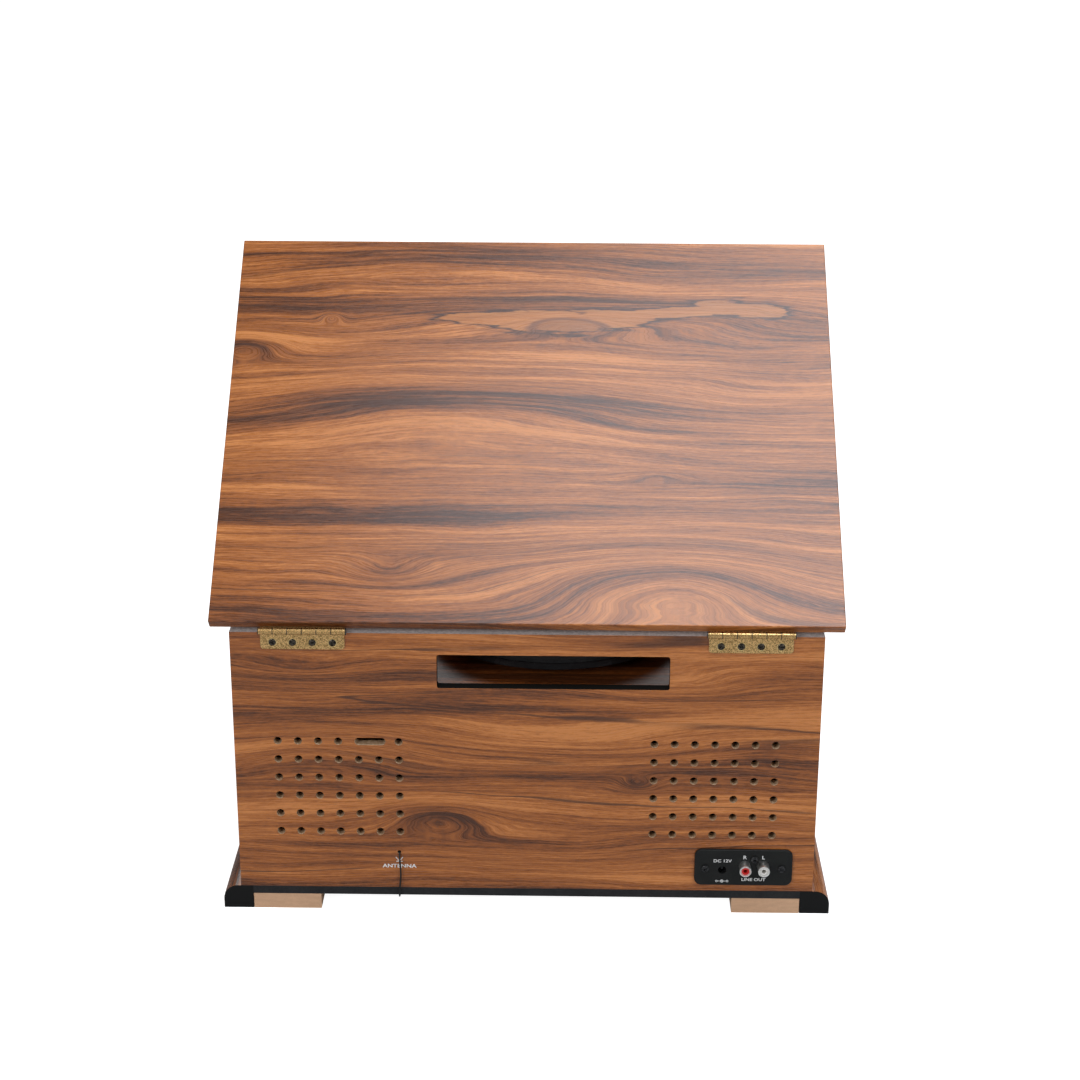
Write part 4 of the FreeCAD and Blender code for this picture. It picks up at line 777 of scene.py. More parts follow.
@dataclass(frozen=True)
class Metal(Finish):
    """Bare or plated metal.

    Attributes:
        bright: Its colour where it is clean.
        dull: Its colour where it is tarnished.
        rough: Its lowest and highest roughness.
        tarnish: How much of it is tarnished, from 0 to 1.
        patch: The size of the tarnished patches in metres.
        brush: How the brushing is drawn out, as factors on X, Y and Z.
    """

    bright: Colour = (0.62, 0.62, 0.63)
    dull: Colour = (0.40, 0.40, 0.41)
    rough: tuple[float, float] = (0.22, 0.38)
    tarnish: float = 0.35
    patch: float = 0.010
    brush: Point = (1.0, 1.0, 1.0)

    def paint(self, wiring: Wiring, shader: bpy.types.Node) -> None:
        """Brushed lines under patches of tarnish.

        Args:
            wiring: The material's wiring.
            shader: Its Principled shader.
        """
        place = self.place(wiring)
        speckle = Effect.SPECKLE.use(wiring, {
            "Vector": wiring.scaled(place, self.brush), "Fine": 1400.0,
            "Coarse": 1.0 / self.patch})
        worn = wiring.ramp(speckle.outputs["Value"], 0.75 - 0.6 * self.tarnish,
                           1.05 - 0.6 * self.tarnish)
        wiring.feed(shader.inputs["Base Color"], wiring.blend(worn, self.bright, self.dull))
        wiring.feed(shader.inputs["Roughness"], wiring.ramp(worn, 0.0, 1.0, *self.rough))
        shader.inputs["Metallic"].default_value = 1.0
        self.dent(wiring, shader, speckle.outputs["Fine"], 0.00002, 0.3)


@dataclass(frozen=True)
class Cloth(Finish):
    """Woven cloth: threads that pass over and under each other.

    Attributes:
        warp: The colour of the upright threads.
        weft: The colour of the level threads.
        pitch: The distance between threads in metres.
    """

    warp: Colour = (0.200, 0.135, 0.070)
    weft: Colour = (0.095, 0.060, 0.032)
    pitch: float = 0.0011

    def paint(self, wiring: Wiring, shader: bpy.types.Node) -> None:
        """A checker of threads across X and Z.

        Args:
            wiring: The material's wiring.
            shader: Its Principled shader.
        """
        place = self.place(wiring)
        along, _, up = wiring.apart(place)
        scale = 2.0 * math.pi / self.pitch
        level = wiring.sum("SINE", wiring.sum("MULTIPLY", along, scale))
        upright = wiring.sum("SINE", wiring.sum("MULTIPLY", up, scale))
        weave = wiring.ramp(wiring.sum("MULTIPLY", level, upright), -0.6, 0.6)
        speckle = Effect.SPECKLE.use(wiring, {"Vector": place, "Fine": 2500.0,
                                              "Coarse": 30.0})
        colour = wiring.blend(weave, self.weft, self.warp)
        colour = wiring.blend(wiring.sum("MULTIPLY", speckle.outputs["Value"], 0.35),
                              colour, self.warp)
        wiring.feed(shader.inputs["Base Color"], colour)
        wiring.feed(shader.inputs["Roughness"],
                    wiring.ramp(speckle.outputs["Coarse"], 0.0, 1.0, 0.8, 0.95))
        self.dent(wiring, shader, weave, 0.0003, 0.7)


@dataclass(frozen=True)
class Glass(Finish):
    """A clear window with a little haze."""

    def paint(self, wiring: Wiring, shader: bpy.types.Node) -> None:
        """Clear, with smears in its gloss.

        Args:
            wiring: The material's wiring.
            shader: Its Principled shader.
        """
        speckle = Effect.SPECKLE.use(wiring, {"Vector": self.place(wiring),
                                              "Fine": 300.0, "Coarse": 25.0})
        wiring.feed(shader.inputs["Base Color"], wiring.blend(
            speckle.outputs["Value"], (0.93, 0.95, 0.94), (0.98, 0.99, 0.98)))
        wiring.feed(shader.inputs["Roughness"],
                    wiring.ramp(speckle.outputs["Coarse"], 0.0, 1.0, 0.02, 0.08))
        shader.inputs["Transmission Weight"].default_value = 1.0
        shader.inputs["IOR"].default_value = 1.49


class Stock:
    """The finishes that the whole player draws on."""

    sawn = Fibreboard("raw_fibreboard")
    black_edge = Coat("black_board", (0.020, 0.020, 0.021), (0.011, 0.011, 0.012),
                      (0.42, 0.60), 0.0012, 0.00006)
    plastic = Coat("black_plastic")
    gloss = Coat("gloss_black", (0.020, 0.020, 0.022), (0.014, 0.014, 0.015),
                 (0.16, 0.28), 0.0012, 0.00001)
    felt = Coat("felt", (0.034, 0.034, 0.036), (0.012, 0.012, 0.013), (0.85, 0.97),
                0.0005, 0.0003)
    rubber = Coat("rubber", (0.026, 0.026, 0.027), (0.014, 0.014, 0.015), (0.55, 0.75),
                  0.0007, 0.00005)
    wire = Coat("wire_black", (0.022, 0.021, 0.021), (0.012, 0.012, 0.012),
                (0.38, 0.5), 0.002, 0.00001)
    red = Coat("socket_red", (0.620, 0.030, 0.026), (0.430, 0.016, 0.014), (0.22, 0.34),
               0.0009, 0.00001)
    white = Coat("socket_white", (0.800, 0.780, 0.740), (0.640, 0.620, 0.580),
                 (0.25, 0.4), 0.0009, 0.00001)
    ink = Coat("white_print", (0.820, 0.820, 0.810), (0.700, 0.700, 0.690), (0.5, 0.7),
               0.0004, 0.00001)
    dark_ink = Coat("dark_print", (0.045, 0.030, 0.020), (0.020, 0.014, 0.010),
                    (0.5, 0.7), 0.0004, 0.00001)
    paper = Coat("paper_cone", (0.060, 0.058, 0.055), (0.030, 0.029, 0.028),
                 (0.8, 0.95), 0.0007, 0.0001)
    card = Coat("dial_card", (0.760, 0.660, 0.430), (0.640, 0.530, 0.320), (0.7, 0.85),
                0.0006, 0.00003)
    pointer = Coat("pointer_red", (0.640, 0.035, 0.025), (0.470, 0.020, 0.015),
                   (0.25, 0.4), 0.0008, 0.00001)
    board = Coat("board_green", (0.028, 0.130, 0.050), (0.014, 0.075, 0.028),
                 (0.25, 0.4), 0.002, 0.00005)
    brass = Metal("antique_brass", (0.800, 0.510, 0.215), (0.300, 0.180, 0.066),
                  (0.30, 0.50), 0.58, 0.0009, (1.0, 0.6, 1.4))
    bright_brass = Metal("brass_bright", (0.780, 0.570, 0.260), (0.500, 0.340, 0.130),
                         (0.16, 0.34), 0.3, 0.012)
    screw = Metal("dark_screw", (0.110, 0.095, 0.075), (0.018, 0.015, 0.012),
                  (0.28, 0.5), 0.55, 0.0012)
    black_screw = Metal("black_screw", (0.060, 0.060, 0.062), (0.022, 0.022, 0.023),
                        (0.3, 0.5), 0.4, 0.002)
    steel = Metal("steel", (0.560, 0.560, 0.570), (0.350, 0.350, 0.360), (0.16, 0.32))
    aluminium = Metal("aluminium", (0.700, 0.705, 0.715), (0.500, 0.505, 0.515),
                      (0.24, 0.4), 0.35, 0.015)
    tin = Metal("component_metal", (0.520, 0.530, 0.550), (0.330, 0.340, 0.350),
                (0.25, 0.45), 0.4, 0.006)
    nickel = Metal("nickel", (0.900, 0.880, 0.840), (0.620, 0.600, 0.560), (0.30, 0.46),
                   0.35, 0.003)
    glass = Glass("dial_glass")


# --------------------------------------------------------------------- modelling

@dataclass(frozen=True)
class Spot:
    """Where a copy of a piece goes.

    Attributes:
        at: Its place in metres.
        turn: How it is turned, in degrees about X, Y and Z.
    """

    at: Point
    turn: Point = UNTURNED

    @property
    def matrix(self) -> Matrix:
        """The spot as a matrix."""
        angles = Euler([math.radians(angle) for angle in self.turn])
        return Matrix.Translation(self.at) @ angles.to_matrix().to_4x4()


@dataclass(frozen=True)
class Aimed(Spot):
    """A spot whose piece is first twisted about its own Z.

    Attributes:
        twist: The twist, in degrees.
    """

    twist: float = 0.0

    @property
    def matrix(self) -> Matrix:
        """The spot as a matrix, with the twist."""
        return super().matrix @ Matrix.Rotation(math.radians(self.twist), 4, "Z")


def clear() -> None:
    """Deselect everything."""
    if bpy.context.mode != "OBJECT":
        bpy.ops.object.mode_set(mode="OBJECT")
    bpy.ops.object.select_all(action="DESELECT")


def pick(*pieces: bpy.types.Object) -> None:
    """Select some pieces alone, the first one active."""
    clear()
    for piece in pieces:
        piece.select_set(True)
    bpy.context.view_layer.objects.active = pieces[0]


def newest(name: str) -> bpy.types.Object:
    """Name the piece that an operator has just added.

    Args:
        name: Its name.

    Returns:
        The piece.
    """
    piece = bpy.context.active_object
    piece.name = piece.data.name = name
    return piece


def settle(piece: bpy.types.Object) -> bpy.types.Object:
    """Put a piece's place and turn into its mesh.

    Args:
        piece: The piece.

    Returns:
        The piece.
    """
    pick(piece)
    bpy.ops.object.transform_apply(location=True, rotation=True, scale=True)
    return piece


def drum(name: str, radius: float, height: float, at: Point = (0.0, 0.0, 0.0),
         sides: int = 48, turn: Point = UNTURNED) -> bpy.types.Object:
    """A closed drum about its own Z, settled in place.

    Args:
        name: The piece's name.
        radius: Its radius.
        height: Its height.
        at: Its middle.
        sides: How many sides it has.
        turn: How it is turned, in degrees.

    Returns:
        The piece.
    """
    clear()
    bpy.ops.mesh.primitive_cylinder_add(
        vertices=sides, radius=radius, depth=height, location=at,
        rotation=[math.radians(angle) for angle in turn])
    return settle(newest(name))


def block(name: str, size: Point, at: Point, turn: Point = UNTURNED
          ) -> bpy.types.Object:
    """A block, settled in place.

    Args:
        name: The piece's name.
        size: Its size on X, Y and Z before it is turned.
        at: Its middle.
        turn: How it is turned, in degrees.

    Returns:
        The piece.
    """
    clear()
    bpy.ops.mesh.primitive_cube_add(size=1.0, location=at, scale=size,
                                    rotation=[math.radians(angle) for angle in turn])
    return settle(newest(name))


def pick_faces(piece: bpy.types.Object,
               wanted: Callable[[Vector, Vector], bool]) -> None:
    """Go into edit mode with some faces selected.

    Args:
        piece: The piece.
        wanted: A test on a face's middle and normal.
    """
    pick(piece)
    for part in (piece.data.vertices, piece.data.edges):
        part.foreach_set("select", [False] * len(part))
    for face in piece.data.polygons:
        face.select = wanted(face.center, face.normal)
    bpy.ops.object.mode_set(mode="EDIT")
    bpy.ops.mesh.select_mode(type="FACE")


def finish_edit() -> None:
    """Leave edit mode."""
    bpy.ops.object.mode_set(mode="OBJECT")


def rounded(piece: bpy.types.Object, width: float, segments: int = 2
            ) -> bpy.types.Object:
    """Bevel a piece's sharp edges and shade it smooth.

    Args:
        piece: The piece.
        width: The bevel's width.
        segments: How many faces round each edge.

    Returns:
        The piece.
    """
    pick(piece)
    bevel = piece.modifiers.new("edges", "BEVEL")
    bevel.width, bevel.segments = width, segments
    bevel.limit_method, bevel.angle_limit = "ANGLE", SHARP
    bpy.ops.object.modifier_apply(modifier=bevel.name)
    bpy.ops.object.shade_smooth_by_angle(angle=SMOOTH)
    return piece


def cut_away(piece: bpy.types.Object, cutter: bpy.types.Object) -> bpy.types.Object:
    """Cut one piece out of another, and throw the cutter away.

    Args:
        piece: The piece.
        cutter: What is cut out of it.

    Returns:
        The piece.
    """
    pick(piece)
    cut = piece.modifiers.new("cut", "BOOLEAN")
    cut.operation, cut.solver, cut.object = "DIFFERENCE", "EXACT", cutter
    bpy.ops.object.modifier_apply(modifier=cut.name)
    bpy.data.objects.remove(cutter)
    return piece


def joined(name: str, pieces: Sequence[bpy.types.Object]) -> bpy.types.Object:
    """Join pieces into one.

    Args:
        name: The joined piece's name.
        pieces: The pieces.

    Returns:
        The joined piece.
    """
    pick(*pieces)
    if len(pieces) > 1:
        bpy.ops.object.join()
    return newest(name)


def copies(piece: bpy.types.Object, name: str, spots: Sequence[Spot]
           ) -> bpy.types.Object:
    """Copy a piece to spots, each with its own mesh, and join the copies.

    Args:
        piece: The pattern, modelled about the origin; it is used up.
        name: The joined piece's name.
        spots: Where the copies go.

    Returns:
        The joined piece.
    """
    made = []
    for spot in spots:
        clone = piece.copy()
        clone.data = piece.data.copy()
        bpy.context.scene.collection.objects.link(clone)
        clone.data.transform(spot.matrix)
        made.append(clone)
    bpy.data.objects.remove(piece)
    return joined(name, made)


def dress(piece: bpy.types.Object, finish: Finish) -> bpy.types.Object:
    """Give a piece one finish all over.

    Args:
        piece: The piece.
        finish: Its finish.

    Returns:
        The piece.
    """
    piece.data.materials.clear()
    piece.data.materials.append(finish.material())
    return piece


def show(piece: bpy.types.Object, body: str, slot: str, finish: Finish,
         *nodes: str) -> bpy.types.Object:
    """Finish a new piece and fix it to a body.

    Args:
        piece: The piece, in place.
        body: The body it moves with.
        slot: Its material slot; not used.
        finish: Its finish.
        *nodes: The nodes that it stands for, if any.

    Returns:
        The piece.
    """
    dress(piece, finish)
    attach(piece, body)
    if nodes:
        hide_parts(*nodes)
    LOG.info("%s: %d faces on %s", piece.name, len(piece.data.polygons), body)
    return piece


def clothe(finishes: dict[str, Finish]) -> None:
    """Give nodes of the frame their finishes.

    Args:
        finishes: The nodes' names, and their finishes.
    """
    for node, finish in finishes.items():
        dress(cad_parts[node], finish)
        LOG.info("%s: %s", node, finish.name)


@dataclass(frozen=True)
class Print:
    """A printed word or sign.

    Attributes:
        words: What it says.
        size: The letters' height in metres.
        spot: Where its middle goes; it is printed facing +Z before it is turned.
        wide: How much wider than usual the letters are.
        em: The font's size for capitals of height 1.
        heavy: How much the strokes are thickened, as a share of the height.
    """

    words: str
    size: float
    spot: Spot
    wide: float = 1.0
    em: float = 1.38
    heavy: float = 0.018

    def build(self) -> bpy.types.Object:
        """The print as a thin flat mesh in its place."""
        clear()
        bpy.ops.object.text_add()
        piece = bpy.context.active_object
        piece.data.body = self.words
        piece.data.size = self.size * self.em
        piece.data.align_x, piece.data.align_y = "CENTER", "CENTER"
        piece.data.offset = self.size * self.heavy
        piece.data.extrude = INK / 2
        piece.data.resolution_u = 3
        bpy.ops.object.convert(target="MESH")
        piece.data.transform(self.spot.matrix @ Matrix.Diagonal((self.wide, 1, 1, 1)))
        return piece


def printed(name: str, prints: Sequence[Union[Print, bpy.types.Object]]
            ) -> bpy.types.Object:
    """Join prints and drawn signs into one layer of ink.

    Args:
        name: The joined piece's name.
        prints: The prints, and the signs that are already drawn.

    Returns:
        The joined piece.
    """
    pieces = [item.build() if isinstance(item, Print) else item for item in prints]
    return joined(name, pieces)


class Cross(Enum):
    """How a screw's cross recess is turned, so that no two look the same."""

    A = 12.0
    B = 41.0
    C = 67.0
    D = -25.0


def screw_head(name: str, radius: float, rise: float, dome: float) -> bpy.types.Object:
    """A screw head with a cross recess, its seat at Z 0, facing +Z.

    Args:
        name: The piece's name.
        radius: The head's radius.
        rise: How high it stands.
        dome: How much smaller its top is, as a share of the radius.

    Returns:
        The piece.
    """
    head = drum(name, radius, rise, (0.0, 0.0, rise / 2), 32)
    pick_faces(head, lambda middle, normal: normal.z > 0.9)
    bpy.ops.mesh.inset(thickness=radius * dome, depth=rise * 0.25)
    bpy.ops.mesh.inset(thickness=radius * 0.18, depth=rise * 0.08)
    finish_edit()
    reach, width = radius * 1.15, radius * 0.24
    for size in ((reach, width, rise * 1.3), (width, reach, rise * 1.3)):
        cut_away(head, block(f"{name}_arm", size, (0.0, 0.0, rise * 1.05)))
    return rounded(head, radius * 0.05, 1)


# ------------------------------------------------------------------ sub-assemblies

@dataclass
class Cabinet:
    """The wooden box, its mouldings and feet, and the sign by the wire hole.

    Attributes:
        top: The height of the walls' upper edges.
        sign: The middle of the sign by the wire hole.
        stroke: The width of the aerial sign's strokes.
        lean: How far the mast's legs lean, in degrees.
    """

    top: float = 0.229
    sign: Point = (0.0962, 0.16628, 0.0400)
    stroke: float = 0.0006
    lean: float = 38.0

    def dress_walls(self) -> None:
        """Foil on the four walls and the deck, painted shade over the deck, paint on the
        base.
        """
        upright, side = TO_FRONT, (90.0, 0.0, 90.0)
        back = Foil(
            "foil_back", (0.0, 0.0, self.top), upright, 3.7,
            swells=ground(
                (-83, -121, 15, 7, 9), (65, -149, 42, 13, -15), (-108, -39, 60, 16, 10),
                (150, -95, 70, 18, -12), (-30, -88, 90, 18, 12), (20, -178, 120, 16, 10),
                (175, -30, 60, 12, 8)),
            shades=ground(
                (65, -149, 34, 10, -0.34), (185, -68, 60, 5, -0.30),
                (105, -64, 60, 4, -0.28), (10, -60, 75, 3.5, -0.30),
                (-70, -64, 50, 4, -0.22), (-108, -39, 55, 14, 0.16),
                (60, -12, 90, 10, 0.10), (-83, -121, 10, 4, -0.22),
                (-180, -92, 40, 10, -0.22), (-150, -160, 50, 12, 0.12),
                (120, -175, 60, 12, -0.12)),
            edge=Edge.VENTED)
        clothe({
            "rear_panel": back,
            "left_side_panel": Foil("foil_left", turn=side, seed=11.2),
            "right_side_panel": Foil("foil_right", turn=side, seed=19.4,
                                     swells=ground((20, 120, 90, 30, 26))),
            "front_baffle": Foil("foil_front", turn=upright, seed=27.9,
                                 swells=ground((0, 205, 120, 20, 18),
                                               (-60, 30, 90, 20, -14))),
            # The deck's tone is lowered all over as painted shade, standing in for the shade
            # inside the cabinet.
            "deck_board": Foil("foil_deck_painted_shade", seed=33.1,
                               shades=ground((0, 0, 900, 900, -0.38)), shine=0.08),
            "front_moulding": Foil("foil_front_moulding", turn=upright, seed=41.5),
            "left_moulding": Foil("foil_left_moulding", turn=side, seed=47.3,
                                  edge=Edge.CAPPED),
            "right_moulding": Foil("foil_right_moulding", turn=side, seed=52.8,
                                   edge=Edge.CAPPED),
            "base_board": Stock.black_edge, "foot_blocks": Stock.sawn,
            "deck_battens": Stock.sawn})

    def build_sign(self) -> None:
        """An aerial sign and a word, printed below the wire hole."""
        across, behind, up = self.sign
        mast = [block("mast", (self.stroke, INK, 0.0042), (across, behind, up + 0.0029))]
        for lean in (-self.lean, self.lean):
            foot = math.sin(math.radians(lean)) * 0.0021
            mast.append(block("leg", (self.stroke, INK, 0.0046),
                              (across + foot, behind, up + 0.0030), (0.0, lean, 0.0)))
        mast.append(block("foot", (0.0048, INK, self.stroke),
                          (across, behind, up + 0.0012)))
        word = Print("ANTENNA", 0.0031, Spot((across, behind, up - 0.0028), READ_REAR),
                     1.25)
        show(printed("antenna_sign", [word, *mast]), "cabinet", "wood_foil", Stock.ink)


@dataclass
class Lid:
    """The lid with its foil and bumpers.

    Attributes:
        axis: A point on the hinge axis.
        opened: How far it stands open at rest, in degrees.
    """

    axis: Point = (0.0, 0.16875, 0.231)
    opened: float = 40.55

    def dress_lid(self) -> None:
        """The sawn figure of the foil, with a pale lake and its islands."""
        foil = Foil(
            "foil_lid", self.axis, (-self.opened, 0.0, 0.0), 61.7,
            swells=ground(
                (-60, -272, 120, 17, 20), (-29, -263, 42, 10, 9),
                (-167, -284, 45, 11, 10), (157, -271, 9, 5, 10), (225, -243, 34, 12, 20),
                (-110, -34, 95, 34, 44), (102, -46, 34, 12, -12), (-98, -129, 28, 6, 6),
                (60, -190, 130, 42, 26), (-180, -205, 80, 18, -10),
                (60, -325, 150, 18, 12)),
            shades=ground(
                (90, -250, 70, 8, -0.20), (225, -243, 22, 9, -0.40),
                (102, -46, 26, 9, -0.30), (60, -60, 40, 4, -0.20),
                (-103, -34, 45, 12, -0.10), (-100, -70, 80, 5, -0.24),
                (114, -193, 60, 8, -0.24), (-165, -215, 60, 12, -0.22),
                (221, -97, 40, 3, -0.30), (160, -104, 50, 3, -0.28),
                (28, -329, 50, 4, -0.32), (190, -287, 60, 3, -0.30),
                (-20, -291, 120, 3, -0.26), (150, -255, 60, 8, 0.18),
                (120, -150, 120, 18, 0.14), (-30, -20, 90, 9, 0.10),
                (200, -20, 60, 10, -0.16), (20, -235, 90, 8, 0.16)),
            lake=ground(
                (56, -271, 26, 4.5, 0.66), (22, -271, 36, 8, 0.62),
                (-20, -267, 46, 13, 0.80), (-70, -272, 34, 10, 0.62),
                (-108, -277, 30, 5.5, 0.66), (-146, -284, 28, 8.5, 0.80),
                (-184, -279, 24, 7.5, 0.76)),
            isles=ground(
                (-28, -263, 34, 9.5, 1.0), (-165, -289, 18, 4.0, 0.60)),
            veins=0.48)
        clothe({"lid_panel": foil, "lid_bumpers": Stock.rubber})


@dataclass
class Hinges:
    """Two brass butt hinges and their countersunk screws.

    Attributes:
        middles: The hinges' middles across the cabinet.
        steps: The screws' places along one hinge, from its middle.
        level: The height of the cabinet leaves' screws.
        face: Where the cabinet leaves' outer face is.
        seat: The lid leaves' screws, behind and above the closed hinge's axis.
        head: The radius of a screw's head.
        rise: How high a screw's head stands over its seat.
        length: A hinge's length.
        count: How many knuckles a hinge has.
        knuckle: The radius of the dark ring in a joint between knuckles: dirt, and painted
            shade of the gap.
    """

    middles: tuple[float, float] = (-0.1638, 0.1638)
    steps: tuple[float, ...] = (-0.0220, -0.0072, 0.0072, 0.0220)
    level: float = 0.2216
    face: float = 0.16745
    seat: tuple[float, float] = (-0.0145, -0.0008)
    head: float = 0.0026
    rise: float = 0.0011
    length: float = 0.0640
    count: int = 6
    knuckle: float = 0.00262

    def build(self, lid: Lid) -> None:
        """Screws in both leaves, worn rims and the joints of the knuckles.

        Args:
            lid: The lid, for its hinge axis and how far it is open.
        """
        clothe({"hinge_cabinet_leaves": Stock.brass, "hinge_lid_leaves": Stock.brass,
                "hinge_pins": Stock.steel})
        crosses = list(Cross)
        behind, below = [], []
        swing = Matrix.Rotation(math.radians(-lid.opened), 4, "X")
        for number, (middle, step) in enumerate(
                (middle, step) for middle in self.middles for step in self.steps):
            twist = crosses[number % len(crosses)].value
            behind.append(Aimed((middle + step, self.face - 0.0007, self.level),
                                TO_REAR, twist))
            spot = Vector(lid.axis) + swing @ Vector((middle + step, *self.seat))
            below.append(Aimed(tuple(spot), (180.0 - lid.opened, 0.0, 0.0), twist))
        for name, spots, body in (("hinge_cabinet_screws", behind, "cabinet"),
                                  ("hinge_lid_screws", below, "lid")):
            head = screw_head(f"{name}_head", self.head, self.rise, 0.22)
            show(copies(head, f"{name}_crossed", spots), body, "dark_screw",
                 Stock.screw, name)
        self.build_cups(behind)
        self.build_joints(lid)

    def build_cups(self, spots: Sequence[Spot]) -> None:
        """A worn bright rim round each countersunk hole of the cabinet leaves.

        Args:
            spots: Where the cabinet leaves' screws are.
        """
        cup = drum("hinge_cup", self.head * 1.36, 0.0004, (0.0, 0.0, 0.0008), 32)
        cut_away(cup, drum("hinge_cup_bore", self.head * 1.10, 0.003))
        rounded(cup, 0.00008, 1)
        show(copies(cup, "hinge_cups", spots), "cabinet", "brass_bright",
             Stock.bright_brass)

    def build_joints(self, lid: Lid) -> None:
        """Dark rings in the joints between the knuckles: dirt, and painted shade of the gaps.

        Args:
            lid: The lid, for its hinge axis.
        """
        across, behind, up = lid.axis
        pitch = self.length / self.count
        spots = [Spot((middle + pitch * (step - self.count / 2), behind, up),
                      (0.0, 90.0, 0.0))
                 for middle in self.middles for step in range(self.count + 1)]
        # Dark ring in each knuckle joint: dirt, together with painted shade of the gap.
        dirt_and_shade = drum("hinge_joint", self.knuckle, 0.00060)
        rounded(dirt_and_shade, 0.00006, 1)
        show(copies(dirt_and_shade, "hinge_joint_dirt_and_shade", spots), "cabinet", "dark_screw",
             Stock.black_screw)


@dataclass
class JackPlate:
    """The black plate with the phono and power sockets and its markings.

    Attributes:
        face: Where the plate's outer face is.
        phono: The phono sockets' places across, right channel first.
        power: The power socket's place across.
        level: The sockets' height.
        screws: The screws' places across and up.
        proud: How far the phono sockets' sleeves stand off the plate.
        sign: The height of the polarity sign under the power socket.
    """

    face: float = 0.16865
    phono: tuple[float, float] = (-0.1653, -0.1792)
    power: float = -0.1484
    level: float = 0.0416
    screws: tuple[tuple[float, float], ...] = ((-0.1933, 0.0394), (-0.1355, 0.0394),
                                               (-0.1726, 0.0472))
    proud: float = 0.0093
    sign: float = 0.0285

    def build(self) -> None:
        """Sockets, screws and print."""
        clothe({"jack_plate": Stock.plastic, "phono_socket_right": Stock.red,
                "phono_socket_left": Stock.white, "power_socket": Stock.gloss})
        self.build_screws()
        self.build_rings()
        self.build_print()

    def build_screws(self) -> None:
        """Three black screws with crossed heads."""
        spots = [Aimed((across, self.face, up), TO_REAR, cross.value)
                 for (across, up), cross in zip(self.screws, Cross)]
        head = screw_head("plate_screw", 0.0027, 0.0013, 0.25)
        show(copies(head, "jack_plate_screws_crossed", spots), "cabinet", "black_screw",
             Stock.black_screw, "jack_plate_screws")

    def build_rings(self) -> None:
        """A bright sleeve round each phono socket."""
        spots = [Spot((across, self.face, self.level), TO_REAR) for across in self.phono]
        ring = drum("phono_ring", 0.00440, self.proud, (0.0, 0.0, self.proud / 2), 40)
        for name, radius, height, up in (("phono_bore", 0.00300, 0.0300, 0.0),
                                         ("phono_step", 0.00360, 0.0010, self.proud)):
            cut_away(ring, drum(name, radius, height, (0.0, 0.0, up), 40))
        rounded(ring, 0.00012, 2)
        show(copies(ring, "phono_sleeves", spots), "cabinet", "steel", Stock.nickel)

    def build_print(self) -> None:
        """Plain words and signs beside the sockets."""
        behind = self.face + PROUD
        right, left = self.phono
        words = [Print(text, tall, Spot((across, behind, up), READ_REAR), wide)
                 for text, tall, across, up, wide in (
                     ("DC 12V", 0.0025, self.power, 0.0456, 1.2),
                     ("R", 0.0030, right, 0.0487, 1.1), ("L", 0.0030, left, 0.0487, 1.1),
                     ("LINE OUT", 0.0025, (right + left) / 2, 0.0299, 1.2))]
        signs = [block("bar", (0.0016, INK, 0.0003),
                       (self.power + side * 0.0022, behind, self.sign))
                 for side in (-1, 1)]
        for step, radius in ((-0.0040, 0.0009), (0.0, 0.0012), (0.0040, 0.0009)):
            place = (self.power + step, behind, self.sign)
            disc = drum("sign", radius, INK, place, 24, TO_FRONT)
            signs.append(cut_away(disc, drum("hole", radius * 0.62, 0.001, place, 24,
                                             TO_FRONT)))
        signs.append(drum("dot", 0.0004, INK, (self.power, behind, self.sign), 16,
                          TO_FRONT))
        show(printed("jack_plate_print", [*words, *signs]), "cabinet", "black_plastic",
             Stock.ink)


@dataclass
class Turntable:
    """The platter with its mat, and the motor and belt below it.

    Attributes:
        middle: The spindle's place.
        top: The height of the mat's upper face.
        radius: The mat's radius.
        thick: The mat's thickness.
        grooves: The outer radii of the mat's grooves.
        groove: A groove's width.
        sides: How many sides the mat's circles have.
    """

    middle: tuple[float, float] = (-0.0196, 0.03975)
    top: float = 0.1965
    radius: float = 0.0985
    thick: float = 0.0025
    grooves: tuple[float, ...] = (0.0930, 0.0800, 0.0670, 0.0540)
    groove: float = 0.0012
    sides: int = 96

    def build(self) -> None:
        """Finishes, and the mat with raised rings."""
        clothe({"platter": Stock.gloss, "platter_spindle": Stock.steel,
                "platter_bearing": Stock.bright_brass, "motor": Stock.steel,
                "motor_pulley": Stock.aluminium, "drive_belt": Stock.rubber})
        self.build_mat()

    def build_mat(self) -> None:
        """A mat whose upper face has rings and a sunk label area."""
        across, along = self.middle
        low = self.top - self.thick
        mat = drum("ringed_mat", self.radius, self.thick,
                   (across, along, low + self.thick / 2), self.sides)
        cut_away(mat, drum("mat_hole", 0.005, 0.01, (across, along, low), 48))
        rounded(mat, 0.0005, 2)
        sunk, face = (across, along, self.top + 0.0001), (across, along, self.top)
        for radius in self.grooves:
            groove = drum("groove", radius, 0.001, sunk, self.sides)
            cut_away(groove, drum("core", radius - self.groove, 0.01, face, self.sides))
            cut_away(mat, groove)
        cut_away(mat, drum("label_sink", 0.0480, 0.001, sunk, self.sides))
        pick(mat)
        bpy.ops.object.shade_smooth_by_angle(angle=SMOOTH)
        show(mat, "platter", "felt", Stock.felt, "slip_mat")


@dataclass
class Tonearm:
    """The tonearm, its rest and clip."""

    def dress_arm(self) -> None:
        """Metal for the arm, black mouldings for the rest."""
        clothe({"tonearm_base": Stock.plastic, "tonearm_yoke": Stock.aluminium,
                "tonearm_tube": Stock.aluminium, "counterweight": Stock.steel,
                "headshell": Stock.gloss, "cartridge": Stock.red,
                "arm_rest": Stock.plastic, "arm_clip": Stock.plastic})


